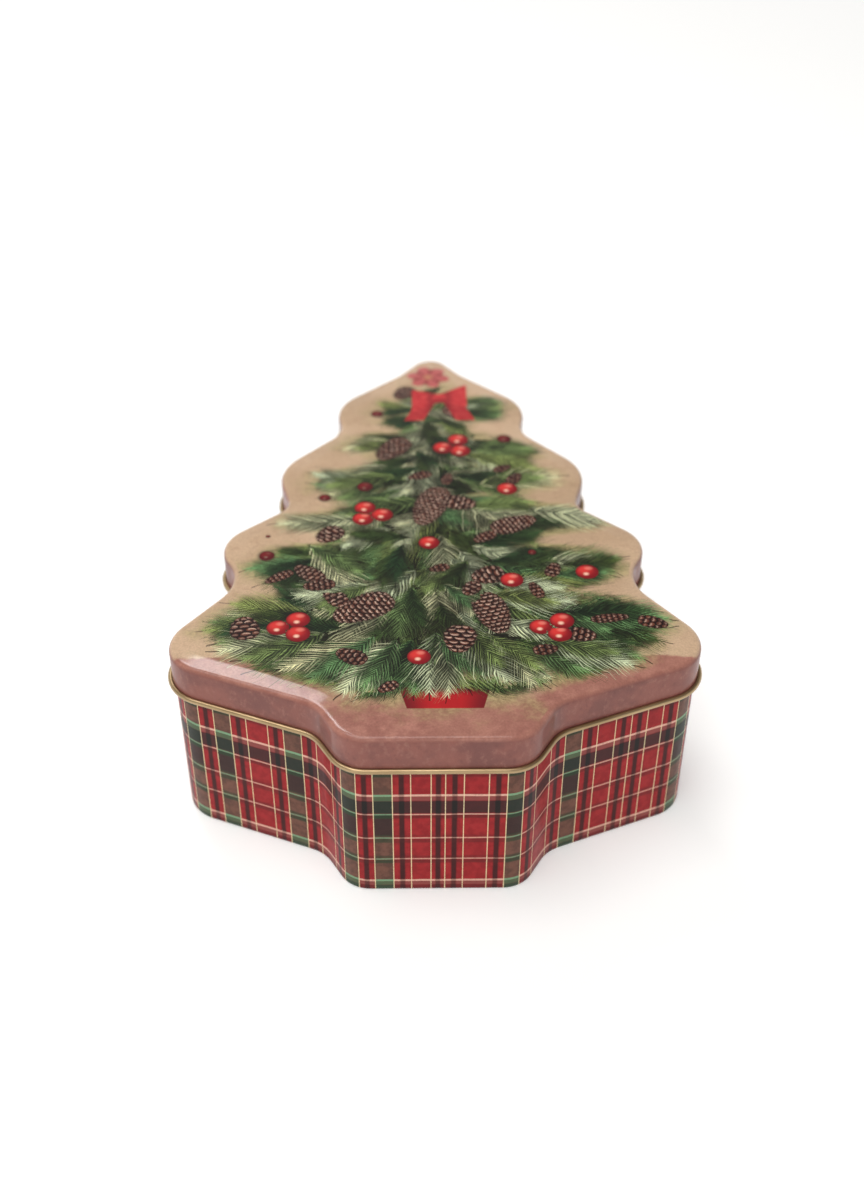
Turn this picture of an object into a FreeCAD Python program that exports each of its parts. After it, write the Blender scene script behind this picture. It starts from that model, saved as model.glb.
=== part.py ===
import FreeCAD, Part
import math
import os

import Sketcher
from FreeCAD import Vector

# Tree-shaped cookie tin in printed tinplate: a drawn slip-on lid whose skirt
# ends in an outward curl, a seamed wall strip with a curled mouth and a rolled
# foot, and a stamped base panel clinched in that roll.
#
# Millimetres, +Z up.  The origin is the centre of the tin's footprint at table
# level.  The trunk's foot faces -Y, the tip of the tree +Y, and the plan is
# symmetric about the YZ plane.

doc = FreeCAD.newDocument("cookie_tin")

# ---------------------------------------------------------------- dimensions
# alias, value, what it is
SIZES = [
    ("gauge", 0.3, "tinplate thickness of all three pressings"),
    ("overall_height", 74.0, "table to the top of the lid's panel"),
    ("skirt_length", 249.3, "lid skirt from the trunk's foot to the tip"),
    ("tip_radius", 8.4, "rounding of the tip"),
    ("lid_corner", 2.0, "outside radius between lid panel and skirt"),
    ("lid_rim", 6.0, "width of the swept rim that the lid panel joins"),
    ("lid_lap", 1.0, "overlap of the lid panel and the swept rim"),
    ("curl_height", 60.0, "centre line of the lid's curl above the table"),
    ("curl_radius", 0.95, "outside radius of the lid's curl"),
    ("slip_gap", 0.6, "gap between lid skirt and wall, all round"),
    ("lip_radius", 0.9, "outside radius of the wall's inward curl"),
    ("lip_height", 72.7, "centre line of the wall's inward curl"),
    ("foot_radius", 1.0, "outside radius of the rolled foot's corners"),
    ("foot_flat", 1.6, "flat width of the rolled foot on the table"),
    ("foot_rise", 1.7, "height of the rolled foot's inner leg"),
    ("clinch_gap", 0.05, "gap between the wall and the base panel"),
    ("base_height", 4.0, "top of the base panel's margin"),
    ("base_corner", 1.2, "outside radius between base panel and flange"),
    ("base_rim", 5.6, "inset of the base's step from the lid skirt"),
    ("base_step", 0.6, "rise and run of the base's stiffening step"),
    ("base_inset", 7.2, "inset where the base's flat panel begins"),
    ("base_rim_lap", 0.2, "how far the swept rim runs inside that inset"),
    ("base_panel_lap", 0.5, "how far the flat panel runs outside that inset"),
    ("seam_width", 4.0, "width of the wall's lock seam"),
    ("seam_build", 0.9, "how far the lock seam stands inside the wall"),
    ("seam_foot", 5.0, "bottom of the lock seam's folded part"),
    ("seam_top", 71.4, "top of the lock seam's folded part"),
    ("fold_depth", 0.12, "depth of the seam's fold line outside"),
    ("fold_width", 0.3, "width of the seam's fold line outside"),
]

# Corners of the skirt's outer face before rounding, right half, tip to foot:
# name, x, y from the trunk's foot, rounding radius, what it is.
# The trunk's foot is where y is measured from, so it has no y of its own.
SIDE_CORNERS = [
    ("flare", 13.8, 235.9, 10.2, "shoulder under the tip"),
    ("bough_one", 41.3, 209.7, 20.6, "top bough"),
    ("notch_one", 37.4, 187.9, 14.2, "notch under the top bough"),
    ("bough_two", 63.3, 158.9, 21.8, "second bough"),
    ("notch_two", 55.8, 132.8, 9.0, "notch under the second bough"),
    ("bough_three", 83.7, 107.8, 15.6, "third bough"),
    ("notch_three", 70.0, 85.4, 19.0, "notch under the third bough"),
    ("bough_four", 101.8, 42.2, 16.1, "bottom bough"),
    ("trunk_top", 40.8, 17.1, 14.2, "where the bottom bough meets the trunk"),
    ("trunk_foot", 30.7, None, 13.0, "corner of the trunk's foot"),
]

cells = list(SIZES)
for name, x, y, radius, note in SIDE_CORNERS:
    cells.append((name + "_x", x, note + ", x"))
    if y is not None:
        cells.append((name + "_y", y, note + ", y"))
    cells.append((name + "_radius", radius, note + ", rounding"))

sheet = doc.addObject("Spreadsheet::Sheet", "Params")
for row, (alias, value, note) in enumerate(cells, start=1):
    sheet.set("A%d" % row, alias)
    sheet.set("B%d" % row, repr(value))
    sheet.set("C%d" % row, note)
    sheet.setAlias("B%d" % row, alias)
doc.recompute()


class Dim:
    """A length and the sheet expression that gives it."""

    def __init__(self, value, text):
        self.value = float(value)
        self.text = text

    def __add__(self, other):
        return Dim(self.value + other.value, "(%s + %s)" % (self.text, other.text))

    def __sub__(self, other):
        return Dim(self.value - other.value, "(%s - %s)" % (self.text, other.text))

    def __mul__(self, factor):
        return Dim(self.value * factor, "(%s * %.9f)" % (self.text, factor))

    def __neg__(self):
        return Dim(-self.value, "(0 - %s)" % self.text)


dims = {alias: Dim(sheet.get(alias), "Params." + alias) for alias, _, _ in cells}
ZERO = Dim(0.0, "0")
HALF_LENGTH = dims["skirt_length"] * 0.5

# ------------------------------------------------------------------- outline
# The plan is a closed polygon with every corner rounded: straight lines and
# tangent arcs.  An offset keeps each arc's centre and changes its radius.
SIDE = [entry[0] for entry in SIDE_CORNERS]
MIN_STRAIGHT = 0.05  # shortest line allowed between two roundings
MIN_RADIUS = 0.2     # an offset arc must stay larger than this


def ray(angle):
    return Vector(math.cos(angle), math.sin(angle), 0)


def side_vertex(name):
    rise = dims[name + "_y"].value if name + "_y" in dims else 0.0
    return Vector(dims[name + "_x"].value, rise - HALF_LENGTH.value, 0)


def tip_vertex():
    """Where the two lines that touch the tip's arc would cross."""
    flare = side_vertex("flare")
    radius = dims["tip_radius"].value
    rise = HALF_LENGTH.value - radius - flare.y
    distance = math.hypot(flare.x, rise)
    bearing = math.atan2(rise, -flare.x) - math.asin(radius / distance)
    return Vector(0, flare.y - flare.x * math.tan(bearing), 0)


# Polygon corners with their radii, clockwise from the tip.
CORNERS = [(tip_vertex(), dims["tip_radius"].value)]
CORNERS += [(side_vertex(name), dims[name + "_radius"].value) for name in SIDE]
CORNERS += [(Vector(-point.x, point.y, 0), radius) for point, radius in reversed(CORNERS[1:])]
COUNT = len(CORNERS)
FIRST = len(SIDE) + 1  # left corner of the trunk's foot; the outline starts there


def corner_arc(k):
    """Centre, radius, start angle, sweep (negative is clockwise), and the
    distance from the polygon's corner to where the arc begins."""
    corner, radius = CORNERS[k]
    backward = (CORNERS[k - 1][0] - corner).normalize()
    forward = (CORNERS[(k + 1) % COUNT][0] - corner).normalize()
    half = math.acos(backward.dot(forward)) / 2.0
    reach = radius / math.tan(half)
    centre = corner + (backward + forward).normalize() * (radius / math.sin(half))
    start = corner + backward * reach - centre
    end = corner + forward * reach - centre
    start_angle = math.atan2(start.y, start.x)
    end_angle = math.atan2(end.y, end.x)
    sweep = (end_angle - start_angle + math.pi) % (2 * math.pi) - math.pi
    return centre, radius, start_angle, sweep, reach


ARCS = [corner_arc(k) for k in range(COUNT)]
for k in range(COUNT):
    following = (k + 1) % COUNT
    side_length = (CORNERS[following][0] - CORNERS[k][0]).Length
    if side_length - ARCS[k][4] - ARCS[following][4] < MIN_STRAIGHT:
        raise RuntimeError("the roundings of corners %d and %d meet" % (k, following))


def outline(offset):
    """Lines and arcs of the outline moved outwards by offset, clockwise from
    the middle of the trunk's foot; with each arc, whether it runs clockwise."""
    arcs = []
    for i in range(COUNT):
        centre, radius, start_angle, sweep, _ = ARCS[(FIRST + i) % COUNT]
        radius += offset if sweep < 0 else -offset
        if radius <= MIN_RADIUS:
            raise RuntimeError("offset %.2f is more than a corner can take" % offset)
        end_angle = start_angle + sweep
        circle = Part.Circle(centre, Vector(0, 0, 1), radius)
        low, high = sorted((start_angle, end_angle))
        arcs.append((Part.ArcOfCircle(circle, low, high), sweep < 0,
                     centre + ray(start_angle) * radius, centre + ray(end_angle) * radius))
    middle = (arcs[-1][3] + arcs[0][2]) * 0.5
    geometry = [Part.LineSegment(middle, arcs[0][2])]
    for i, (arc, _, _, end) in enumerate(arcs):
        next_start = arcs[i + 1][2] if i + 1 < COUNT else middle
        geometry += [arc, Part.LineSegment(end, next_start)]
    return geometry, [entry[1] for entry in arcs]


# --------------------------------------------------------------- sketch tools
def new_body(name):
    body = doc.addObject("PartDesign::Body", name)
    body.Label = name
    return body


def new_sketch(body, name, role):
    """An empty sketch on the body's origin plane with the given role."""
    sketch = body.newObject("Sketcher::SketchObject", name)
    plane = [f for f in body.Origin.OriginFeatures if f.Role == role][0]
    sketch.AttachmentSupport = [(plane, "")]
    sketch.MapMode = "FlatFace"
    doc.recompute()
    return sketch


def bind(sketch, name, dim, kind, *where):
    """Add a dimensional constraint that follows the sheet."""
    index = sketch.addConstraint(Sketcher.Constraint(kind, *where, dim.value))
    sketch.renameConstraint(index, name)
    sketch.setExpression("Constraints." + name, dim.text)


# Sketcher's numbers for the points of an element, and for the sketch's axes.
START, END, CENTRE = 1, 2, 3
ROOT, X_AXIS, Y_AXIS = -1, -1, -2


def outline_path(body, name):
    """The skirt's outer face in plan, every corner held by the sheet."""
    sketch = new_sketch(body, name, "XY_Plane")
    geometry, clockwise = outline(0.0)
    sketch.addGeometry(geometry, False)
    rules = []
    for i in range(COUNT):
        before, arc, after = 2 * i, 2 * i + 1, 2 * i + 2
        head, tail = (END, START) if clockwise[i] else (START, END)
        rules.append(Sketcher.Constraint("Tangent", before, END, arc, head))
        rules.append(Sketcher.Constraint("Tangent", arc, tail, after, START))
    rules.append(Sketcher.Constraint("Coincident", len(geometry) - 1, END, 0, START))
    rules.append(Sketcher.Constraint("Horizontal", 0))
    rules.append(Sketcher.Constraint("PointOnObject", 0, START, Y_AXIS))
    sketch.addConstraint(rules)
    arc_of = {(FIRST + i) % COUNT: 1 + 2 * i for i in range(COUNT)}

    # polygon corners as construction points: right side from the sheet, left
    # side mirrored
    points = {}
    for k in range(1, COUNT):
        points[k] = sketch.addGeometry(Part.Point(CORNERS[k][0]), True)
    foot_point = points[len(SIDE)]
    bind(sketch, "foot_y", HALF_LENGTH, "DistanceY", foot_point, START, ROOT, START)
    for k, corner in enumerate(SIDE, start=1):
        bind(sketch, corner + "_x", dims[corner + "_x"],
             "DistanceX", ROOT, START, points[k], START)
        if corner + "_y" in dims:
            bind(sketch, corner + "_y", dims[corner + "_y"],
                 "DistanceY", foot_point, START, points[k], START)
        mirrored = COUNT - k
        sketch.addConstraint(Sketcher.Constraint(
            "Symmetric", points[k], START, points[mirrored], START, Y_AXIS))
        bind(sketch, corner + "_radius", dims[corner + "_radius"], "Radius", arc_of[k])
        sketch.addConstraint(Sketcher.Constraint("Equal", arc_of[k], arc_of[mirrored]))
    for k in range(1, COUNT):
        sketch.addConstraint([
            Sketcher.Constraint("PointOnObject", points[k], START, line)
            for line in (arc_of[k] - 1, arc_of[k] + 1)])
    tip = arc_of[0]
    sketch.addConstraint(Sketcher.Constraint("PointOnObject", tip, CENTRE, Y_AXIS))
    bind(sketch, "tip_radius", dims["tip_radius"], "Radius", tip)
    bind(sketch, "tip_y", dims["skirt_length"] - dims["tip_radius"],
         "DistanceY", foot_point, START, tip, CENTRE)
    doc.recompute()
    return sketch


def polar(centre, radius, degrees):
    """The point of a section's circle at an angle: 0 is outward, 90 is up."""
    angle = math.radians(degrees)
    return centre[0] + radius * math.cos(angle), centre[1] + radius * math.sin(angle)


def section(body, name, corners):
    """A closed section of the sheet across the middle of the trunk's foot.

    corners is a list of (outward, up, bend): outward from the skirt's outer
    face and up from the table, both sheet-driven, and the run that leaves the
    corner: None for a straight, or (radius, angle it passes through, centre)
    for an arc.
    """
    sketch = new_sketch(body, name, "YZ_Plane")

    def point(outward, up):
        return Vector(-HALF_LENGTH.value - outward.value, up.value, 0)

    count = len(corners)
    geometry, flips = [], []
    for i, (outward, up, bend) in enumerate(corners):
        start = point(outward, up)
        end = point(*corners[(i + 1) % count][:2])
        flipped = False
        if bend is None:
            geometry.append(Part.LineSegment(start, end))
        else:
            radius, degrees, centre = bend
            middle = point(*polar(centre, radius, degrees))
            # the sketcher stores every arc anticlockwise
            flipped = (middle - start).cross(end - middle).z < 0
            ends = (end, start) if flipped else (start, end)
            geometry.append(Part.Arc(ends[0], middle, ends[1]))
        flips.append(flipped)
    sketch.addGeometry(geometry, False)
    heads = [END if flipped else START for flipped in flips]
    tails = [START if flipped else END for flipped in flips]
    for i in range(count):
        following = (i + 1) % count
        sketch.addConstraint(Sketcher.Constraint(
            "Coincident", i, tails[i], following, heads[following]))
    for i, (outward, up, bend) in enumerate(corners):
        bind(sketch, "out_%02d" % i, HALF_LENGTH + outward,
             "DistanceX", i, heads[i], ROOT, START)
        if abs(up.value) < 1e-9:
            sketch.addConstraint(Sketcher.Constraint("PointOnObject", i, heads[i], X_AXIS))
        else:
            bind(sketch, "up_%02d" % i, up, "DistanceY", ROOT, START, i, heads[i])
        if bend is not None:
            bind(sketch, "bend_%02d" % i, bend[0], "Radius", i)
    doc.recompute()
    return sketch


# -------------------------------------------------------------- feature tools
def must_be_solid(feature):
    shape = feature.Shape
    if shape.isNull() or not shape.isValid() or len(shape.Solids) != 1:
        raise RuntimeError("%s is not one valid solid: %s" % (feature.Name, feature.State))
    return feature


def swept(body, name, profile, path):
    pipe = body.newObject("PartDesign::AdditivePipe", name)
    pipe.Profile = profile
    pipe.Spine = (path, ["Edge%d" % (i + 1) for i in range(len(path.Shape.Edges))])
    pipe.Mode = "Standard"
    doc.recompute()
    return must_be_solid(pipe)


def extruded(body, kind, name, sketch, length):
    """A Pad or a Pocket, either of them running up from its sketch."""
    feature = body.newObject("PartDesign::" + kind, name)
    feature.Profile = sketch
    feature.Reversed = kind == "Pocket"
    feature.setExpression("Length", length.text)
    doc.recompute()
    return must_be_solid(feature)


def panel(body, name, inset, panel_top):
    """A flat panel one gauge thick, its outline moved in by inset."""
    sketch = new_sketch(body, name + "_outline", "XY_Plane")
    sketch.addGeometry(outline(-inset.value)[0], False)
    sketch.setExpression(".AttachmentOffset.Base.z", (panel_top - gauge).text)
    doc.recompute()
    return extruded(body, "Pad", name, sketch, gauge)


# ------------------------------------------------------------ shared sections
# Angles in degrees in the sections, 0 outward and 90 up: the middles of the
# quarter bends, a point on each curl, and where each curl ends.
UPPER_OUTER, LOWER_INNER, LOWER_OUTER = 45.0, 225.0, 315.0
CURL_MIDDLE, CURL_END = 330.0, 480.0  # the curl leaves the skirt at 180
LIP_MIDDLE, LIP_END = 120.0, 290.0    # the lip leaves the wall at 0

gauge = dims["gauge"]
wall_face = -(gauge + dims["slip_gap"])  # the wall's outer face

# the rolled foot's two corners, which the base's flange follows
foot = dims["foot_radius"]
heel = (wall_face - foot, foot)
toe = (wall_face - foot - dims["foot_flat"], foot)


# ----------------------------------------------------------------------- lid
def make_lid():
    """Flat panel, corner radius, skirt, and a curl rolled outwards and up,
    which turns the sheet's inner face outside."""
    body = new_body("lid")
    path = outline_path(body, "lid_path")
    top = dims["overall_height"]
    rim = dims["lid_rim"]
    corner = dims["lid_corner"]
    corner_at = (-corner, top - corner)
    curl = dims["curl_radius"]
    curl_height = dims["curl_height"]
    curl_at = (curl - gauge, curl_height)
    profile = section(body, "lid_section", [
        (-rim, top, None),
        (-corner, top, (corner, UPPER_OUTER, corner_at)),
        (ZERO, top - corner, None),
        (ZERO, curl_height, (curl - gauge, CURL_MIDDLE, curl_at)),
        (*polar(curl_at, curl - gauge, CURL_END), None),
        (*polar(curl_at, curl, CURL_END), (curl, CURL_MIDDLE, curl_at)),
        (-gauge, curl_height, None),
        (-gauge, top - corner, (corner - gauge, UPPER_OUTER, corner_at)),
        (-corner, top - gauge, None),
        (-rim, top - gauge, None),
    ])
    swept(body, "lid_skirt", profile, path)
    panel(body, "lid_panel", rim - dims["lid_lap"], top)
    return body


# ----------------------------------------------------------------- body_wall
def seam_band(body, name, outer, inner, width):
    """A ring segment about the tip's centre, facing +Y, at the seam's foot.
    The width is measured along the wall's outer face."""
    sketch = new_sketch(body, name, "XY_Plane")
    centre = ARCS[0][0]
    half = width.value / 2.0 / (dims["tip_radius"] + wall_face).value
    right, left = math.pi / 2 - half, math.pi / 2 + half
    outer_arc, inner_arc = [
        Part.ArcOfCircle(Part.Circle(centre, Vector(0, 0, 1), radius.value), right, left)
        for radius in (outer, inner)]
    left_side = Part.LineSegment(centre + ray(left) * outer.value,
                                 centre + ray(left) * inner.value)
    right_side = Part.LineSegment(centre + ray(right) * inner.value,
                                  centre + ray(right) * outer.value)
    sketch.addGeometry([outer_arc, left_side, inner_arc, right_side], False)
    sketch.addConstraint([
        Sketcher.Constraint("Coincident", 0, END, 1, START),
        Sketcher.Constraint("Coincident", 1, END, 2, END),
        Sketcher.Constraint("Coincident", 2, START, 3, START),
        Sketcher.Constraint("Coincident", 3, END, 0, START),
        Sketcher.Constraint("Coincident", 0, CENTRE, 2, CENTRE),
        Sketcher.Constraint("PointOnObject", 0, CENTRE, Y_AXIS),
        Sketcher.Constraint("Symmetric", 0, START, 0, END, Y_AXIS),
        Sketcher.Constraint("Symmetric", 2, START, 2, END, Y_AXIS),
    ])
    bind(sketch, "outer", outer, "Radius", 0)
    bind(sketch, "inner", inner, "Radius", 2)
    sketch.setExpression(".AttachmentOffset.Base.z", dims["seam_foot"].text)
    doc.recompute()
    return sketch


def add_seam(body):
    """Folded layers inside the wall at the tip; outside only their fold line
    shows, where the sheet turns inwards."""
    tip_face = dims["tip_radius"] + wall_face
    height = dims["seam_top"] - dims["seam_foot"]
    layers = seam_band(body, "seam_outline", tip_face - gauge * 0.5,
                       tip_face - gauge - dims["seam_build"], dims["seam_width"])
    seam = extruded(body, "Pad", "lock_seam", layers, height)
    volume_before = seam.Shape.Volume

    depth = dims["fold_depth"]
    width = dims["fold_width"]
    groove = seam_band(body, "fold_outline", tip_face + depth, tip_face - depth, width)
    fold = extruded(body, "Pocket", "fold_line", groove, height)
    removed = volume_before - fold.Shape.Volume
    expected = width.value * depth.value * height.value
    if not 0.6 * expected < removed < 1.4 * expected:
        raise RuntimeError("the fold line removed %.3f mm3, not %.3f" % (removed, expected))


def make_wall():
    """A strip bent to the outline and lock-seamed at the tip.  Its mouth is
    curled inwards so that no raw edge shows, and its foot is rolled round the
    base."""
    body = new_body("body_wall")
    path = outline_path(body, "wall_path")
    lip = dims["lip_radius"]
    lip_height = dims["lip_height"]
    lip_at = (wall_face - lip, lip_height)
    leg_face = toe[0] - foot  # innermost face of the rolled foot
    leg_top = dims["foot_rise"]
    profile = section(body, "wall_section", [
        (wall_face, foot, None),
        (wall_face, lip_height, (lip, LIP_MIDDLE, lip_at)),
        (*polar(lip_at, lip, LIP_END), None),
        (*polar(lip_at, lip - gauge, LIP_END), (lip - gauge, LIP_MIDDLE, lip_at)),
        (wall_face - gauge, lip_height, None),
        (wall_face - gauge, foot, (foot - gauge, LOWER_OUTER, heel)),
        (heel[0], gauge, None),
        (toe[0], gauge, (foot - gauge, LOWER_INNER, toe)),
        (leg_face + gauge, foot, None),
        (leg_face + gauge, leg_top, None),
        (leg_face, leg_top, None),
        (leg_face, foot, (foot, LOWER_INNER, toe)),
        (toe[0], ZERO, None),
        (heel[0], ZERO, (foot, LOWER_OUTER, heel)),
    ])
    swept(body, "wall_strip", profile, path)
    add_seam(body)
    return body


# ---------------------------------------------------------------- base_panel
def make_base():
    """A shallow dish turned upside down: its flange runs down inside the wall
    and turns in with the wall's foot, which clinches it all round."""
    body = new_body("base_panel")
    path = outline_path(body, "base_path")
    gap = dims["clinch_gap"]
    flange = wall_face - gauge - gap  # the flange's outer face
    margin = dims["base_height"]
    knee = dims["base_corner"]
    knee_at = (flange - knee, margin - knee)
    hook = foot - gauge - gap  # outside radius of the flange's turned-in foot
    hook_low = gauge + gap
    hook_end = toe[0] - hook
    rim = -dims["base_rim"]
    step = dims["base_step"]
    deck = margin + step
    rim_end = -dims["base_inset"] - dims["base_rim_lap"]
    profile = section(body, "base_section", [
        (flange, foot, None),
        (flange, margin - knee, (knee, UPPER_OUTER, knee_at)),
        (knee_at[0], margin, None),
        (rim, margin, None),
        (rim - step, deck, None),
        (rim_end, deck, None),
        (rim_end, deck - gauge, None),
        (rim - step, deck - gauge, None),
        (rim, margin - gauge, None),
        (knee_at[0], margin - gauge, (knee - gauge, UPPER_OUTER, knee_at)),
        (flange - gauge, margin - knee, None),
        (flange - gauge, foot, (hook - gauge, LOWER_OUTER, heel)),
        (heel[0], hook_low + gauge, None),
        (toe[0], hook_low + gauge, (hook - gauge, LOWER_INNER, toe)),
        (hook_end + gauge, foot, None),
        (hook_end, foot, (hook, LOWER_INNER, toe)),
        (toe[0], hook_low, None),
        (heel[0], hook_low, (hook, LOWER_OUTER, heel)),
    ])
    swept(body, "base_flange", profile, path)
    panel(body, "base_deck", dims["base_inset"] - dims["base_panel_lap"], deck)
    return body


# -------------------------------------------------------------------- export
bodies = [make_lid(), make_wall(), make_base()]
doc.recompute()
for obj in doc.Objects:
    if "Invalid" in obj.State or "Error" in obj.State:
        raise RuntimeError("%s is %s" % (obj.Label, obj.State))

os.makedirs("parts", exist_ok=True)
for body in bodies:
    must_be_solid(body).Shape.exportStep("parts/%s.step" % body.Label)
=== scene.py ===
import bpy
import bmesh
import math
import numpy as np
from mathutils import Matrix, Vector


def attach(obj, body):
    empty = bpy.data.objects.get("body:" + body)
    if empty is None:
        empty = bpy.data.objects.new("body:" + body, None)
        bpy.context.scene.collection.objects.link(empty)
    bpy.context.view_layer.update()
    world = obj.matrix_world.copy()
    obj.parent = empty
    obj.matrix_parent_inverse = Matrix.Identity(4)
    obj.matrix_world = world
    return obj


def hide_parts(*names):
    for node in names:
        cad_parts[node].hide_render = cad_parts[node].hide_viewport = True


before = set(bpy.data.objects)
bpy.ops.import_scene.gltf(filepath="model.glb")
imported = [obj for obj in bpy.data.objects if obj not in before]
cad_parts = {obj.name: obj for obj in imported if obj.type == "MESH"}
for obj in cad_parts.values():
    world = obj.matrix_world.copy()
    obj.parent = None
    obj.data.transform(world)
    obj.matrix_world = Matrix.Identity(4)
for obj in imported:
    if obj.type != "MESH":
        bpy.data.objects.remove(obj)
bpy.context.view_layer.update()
MM = 0.001
MARGIN = 8.0  # the lid's sloping margin, and how far it falls, in millimetres
CROWN = 0.4

# --------------------------------------------------------------------- outline
# The skirt's outer face in plan, in millimetres: a polygon with rounded corners,
# the same one the frame is made to.
LENGTH = 249.3
SIDE = [  # x, height above the trunk's foot, rounding
    (13.8, 235.9, 10.2), (41.3, 209.7, 20.6), (37.4, 187.9, 14.2),
    (63.3, 158.9, 21.8), (55.8, 132.8, 9.0), (83.7, 107.8, 15.6),
    (70.0, 85.4, 19.0), (101.8, 42.2, 16.1), (40.8, 17.1, 14.2), (30.7, 0.0, 13.0)]
TIP_R = 8.4


def corners():
    side = [(x, y - LENGTH / 2, r) for x, y, r in SIDE]
    fx, fy = side[0][:2]
    cy = LENGTH / 2 - TIP_R
    reach = math.hypot(fx, cy - fy)
    bearing = math.atan2(cy - fy, -fx) - math.asin(TIP_R / reach)
    out = [(0.0, fy - fx * math.tan(bearing), TIP_R)] + side
    return out + [(-x, y, r) for x, y, r in reversed(side)]


def arcs():
    c = corners()
    out = []
    for k in range(len(c)):
        b = np.array(c[k][:2])
        r = c[k][2]
        u = np.array(c[k - 1][:2]) - b
        w = np.array(c[(k + 1) % len(c)][:2]) - b
        u /= np.linalg.norm(u)
        w /= np.linalg.norm(w)
        half = math.acos(float(u @ w)) / 2
        reach = r / math.tan(half)
        m = (u + w) / np.linalg.norm(u + w)
        o = b + m * r / math.sin(half)
        p0, p1 = b + u * reach - o, b + w * reach - o
        a0, a1 = math.atan2(p0[1], p0[0]), math.atan2(p1[1], p1[0])
        turn = (a1 - a0 + math.pi) % (2 * math.pi) - math.pi
        out.append((o, r, a0, turn))
    return out


ARCS = arcs()


def outline_points(step, extra=()):
    """Points round the outline, clockwise from the middle of the tip's arc:
    position, outward normal, and arc length from the trunk's middle (+ to +X).
    extra holds arc lengths that must be points."""
    runs = []  # (kind, data, length)
    n = len(ARCS)
    for k in range(n):
        o, r, a0, turn = ARCS[k]
        o2, r2, b0, turn2 = ARCS[(k + 1) % n]
        end = o + r * np.array([math.cos(a0 + turn), math.sin(a0 + turn)])
        start2 = o2 + r2 * np.array([math.cos(b0), math.sin(b0)])
        if k == 0:  # the second half of the tip's arc comes first
            runs.append(("arc", (o, r, a0 + turn / 2, turn / 2), r * abs(turn) / 2))
        else:
            runs.append(("arc", (o, r, a0, turn), r * abs(turn)))
        runs.append(("line", (end, start2), float(np.linalg.norm(start2 - end))))
    o, r, a0, turn = ARCS[0]
    runs.append(("arc", (o, r, a0, turn / 2), r * abs(turn) / 2))
    total = sum(q[2] for q in runs)
    stops = [0.0]
    at = 0.0
    for kind, data, length in runs:
        if kind == "arc":
            m = max(2, int(math.ceil(max(length / step, abs(data[3]) / math.radians(6.0)))))
        else:
            m = max(1, int(math.ceil(length / step)))
        stops += [at + length * i / m for i in range(1, m + 1)]
        at += length
    stops = stops[:-1]
    for e in extra:
        want = (total / 2 - e) % total
        gap = [abs(q - want) for q in stops]
        i = int(np.argmin(gap))
        if gap[i] < step * 0.35 and 0 < i:
            stops[i] = want
        else:
            stops.append(want)
    stops = sorted(set(round(q, 6) for q in stops))
    pos, nor = [], []
    edges = np.concatenate([[0.0], np.cumsum([q[2] for q in runs])])
    for q in stops:
        i = min(len(runs) - 1, int(np.searchsorted(edges, q, side="right")) - 1)
        kind, data, length = runs[i]
        f = (q - edges[i]) / length
        if kind == "arc":
            o, r, a0, turn = data
            a = a0 + turn * f
            d = np.array([math.cos(a), math.sin(a)])
            pos.append(o + r * d)
            nor.append(d if turn < 0 else -d)
        else:
            p0, p1 = data
            t = (p1 - p0) / np.linalg.norm(p1 - p0)
            pos.append(p0 + (p1 - p0) * f)
            nor.append(np.array([-t[1], t[0]]))
    return np.array(pos), np.array(nor), total / 2 - np.array(stops), total


# ------------------------------------------------------------------ node tools
def lin(c):
    """An sRGB colour, 0 to 255, as linear."""
    out = []
    for v in c:
        v = v / 255.0
        out.append(v / 12.92 if v <= 0.04045 else ((v + 0.055) / 1.055) ** 2.4)
    return out + [1.0]


class V:
    """A value in a node tree. Arithmetic on it adds Math nodes."""

    def __init__(self, g, s):
        self.g, self.s = g, s

    def __add__(self, o): return self.g.m("ADD", self, o)
    def __radd__(self, o): return self.g.m("ADD", o, self)
    def __sub__(self, o): return self.g.m("SUBTRACT", self, o)
    def __rsub__(self, o): return self.g.m("SUBTRACT", o, self)
    def __mul__(self, o): return self.g.m("MULTIPLY", self, o)
    def __rmul__(self, o): return self.g.m("MULTIPLY", o, self)
    def __truediv__(self, o): return self.g.m("DIVIDE", self, o)
    def __neg__(self): return self.g.m("MULTIPLY", self, -1.0)
    def abs(self): return self.g.m("ABSOLUTE", self)
    def floor(self): return self.g.m("FLOOR", self)
    def fract(self): return self.g.m("FRACT", self)
    def sign(self): return self.g.m("SIGN", self)
    def pow(self, o): return self.g.m("POWER", self, o)
    def sin(self): return self.g.m("SINE", self)
    def cos(self): return self.g.m("COSINE", self)
    def sqrt(self): return self.g.m("SQRT", self)
    def min(self, o): return self.g.m("MINIMUM", self, o)
    def max(self, o): return self.g.m("MAXIMUM", self, o)
    def above(self, o): return self.g.m("GREATER_THAN", self, o)
    def below(self, o): return self.g.m("LESS_THAN", self, o)


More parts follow.
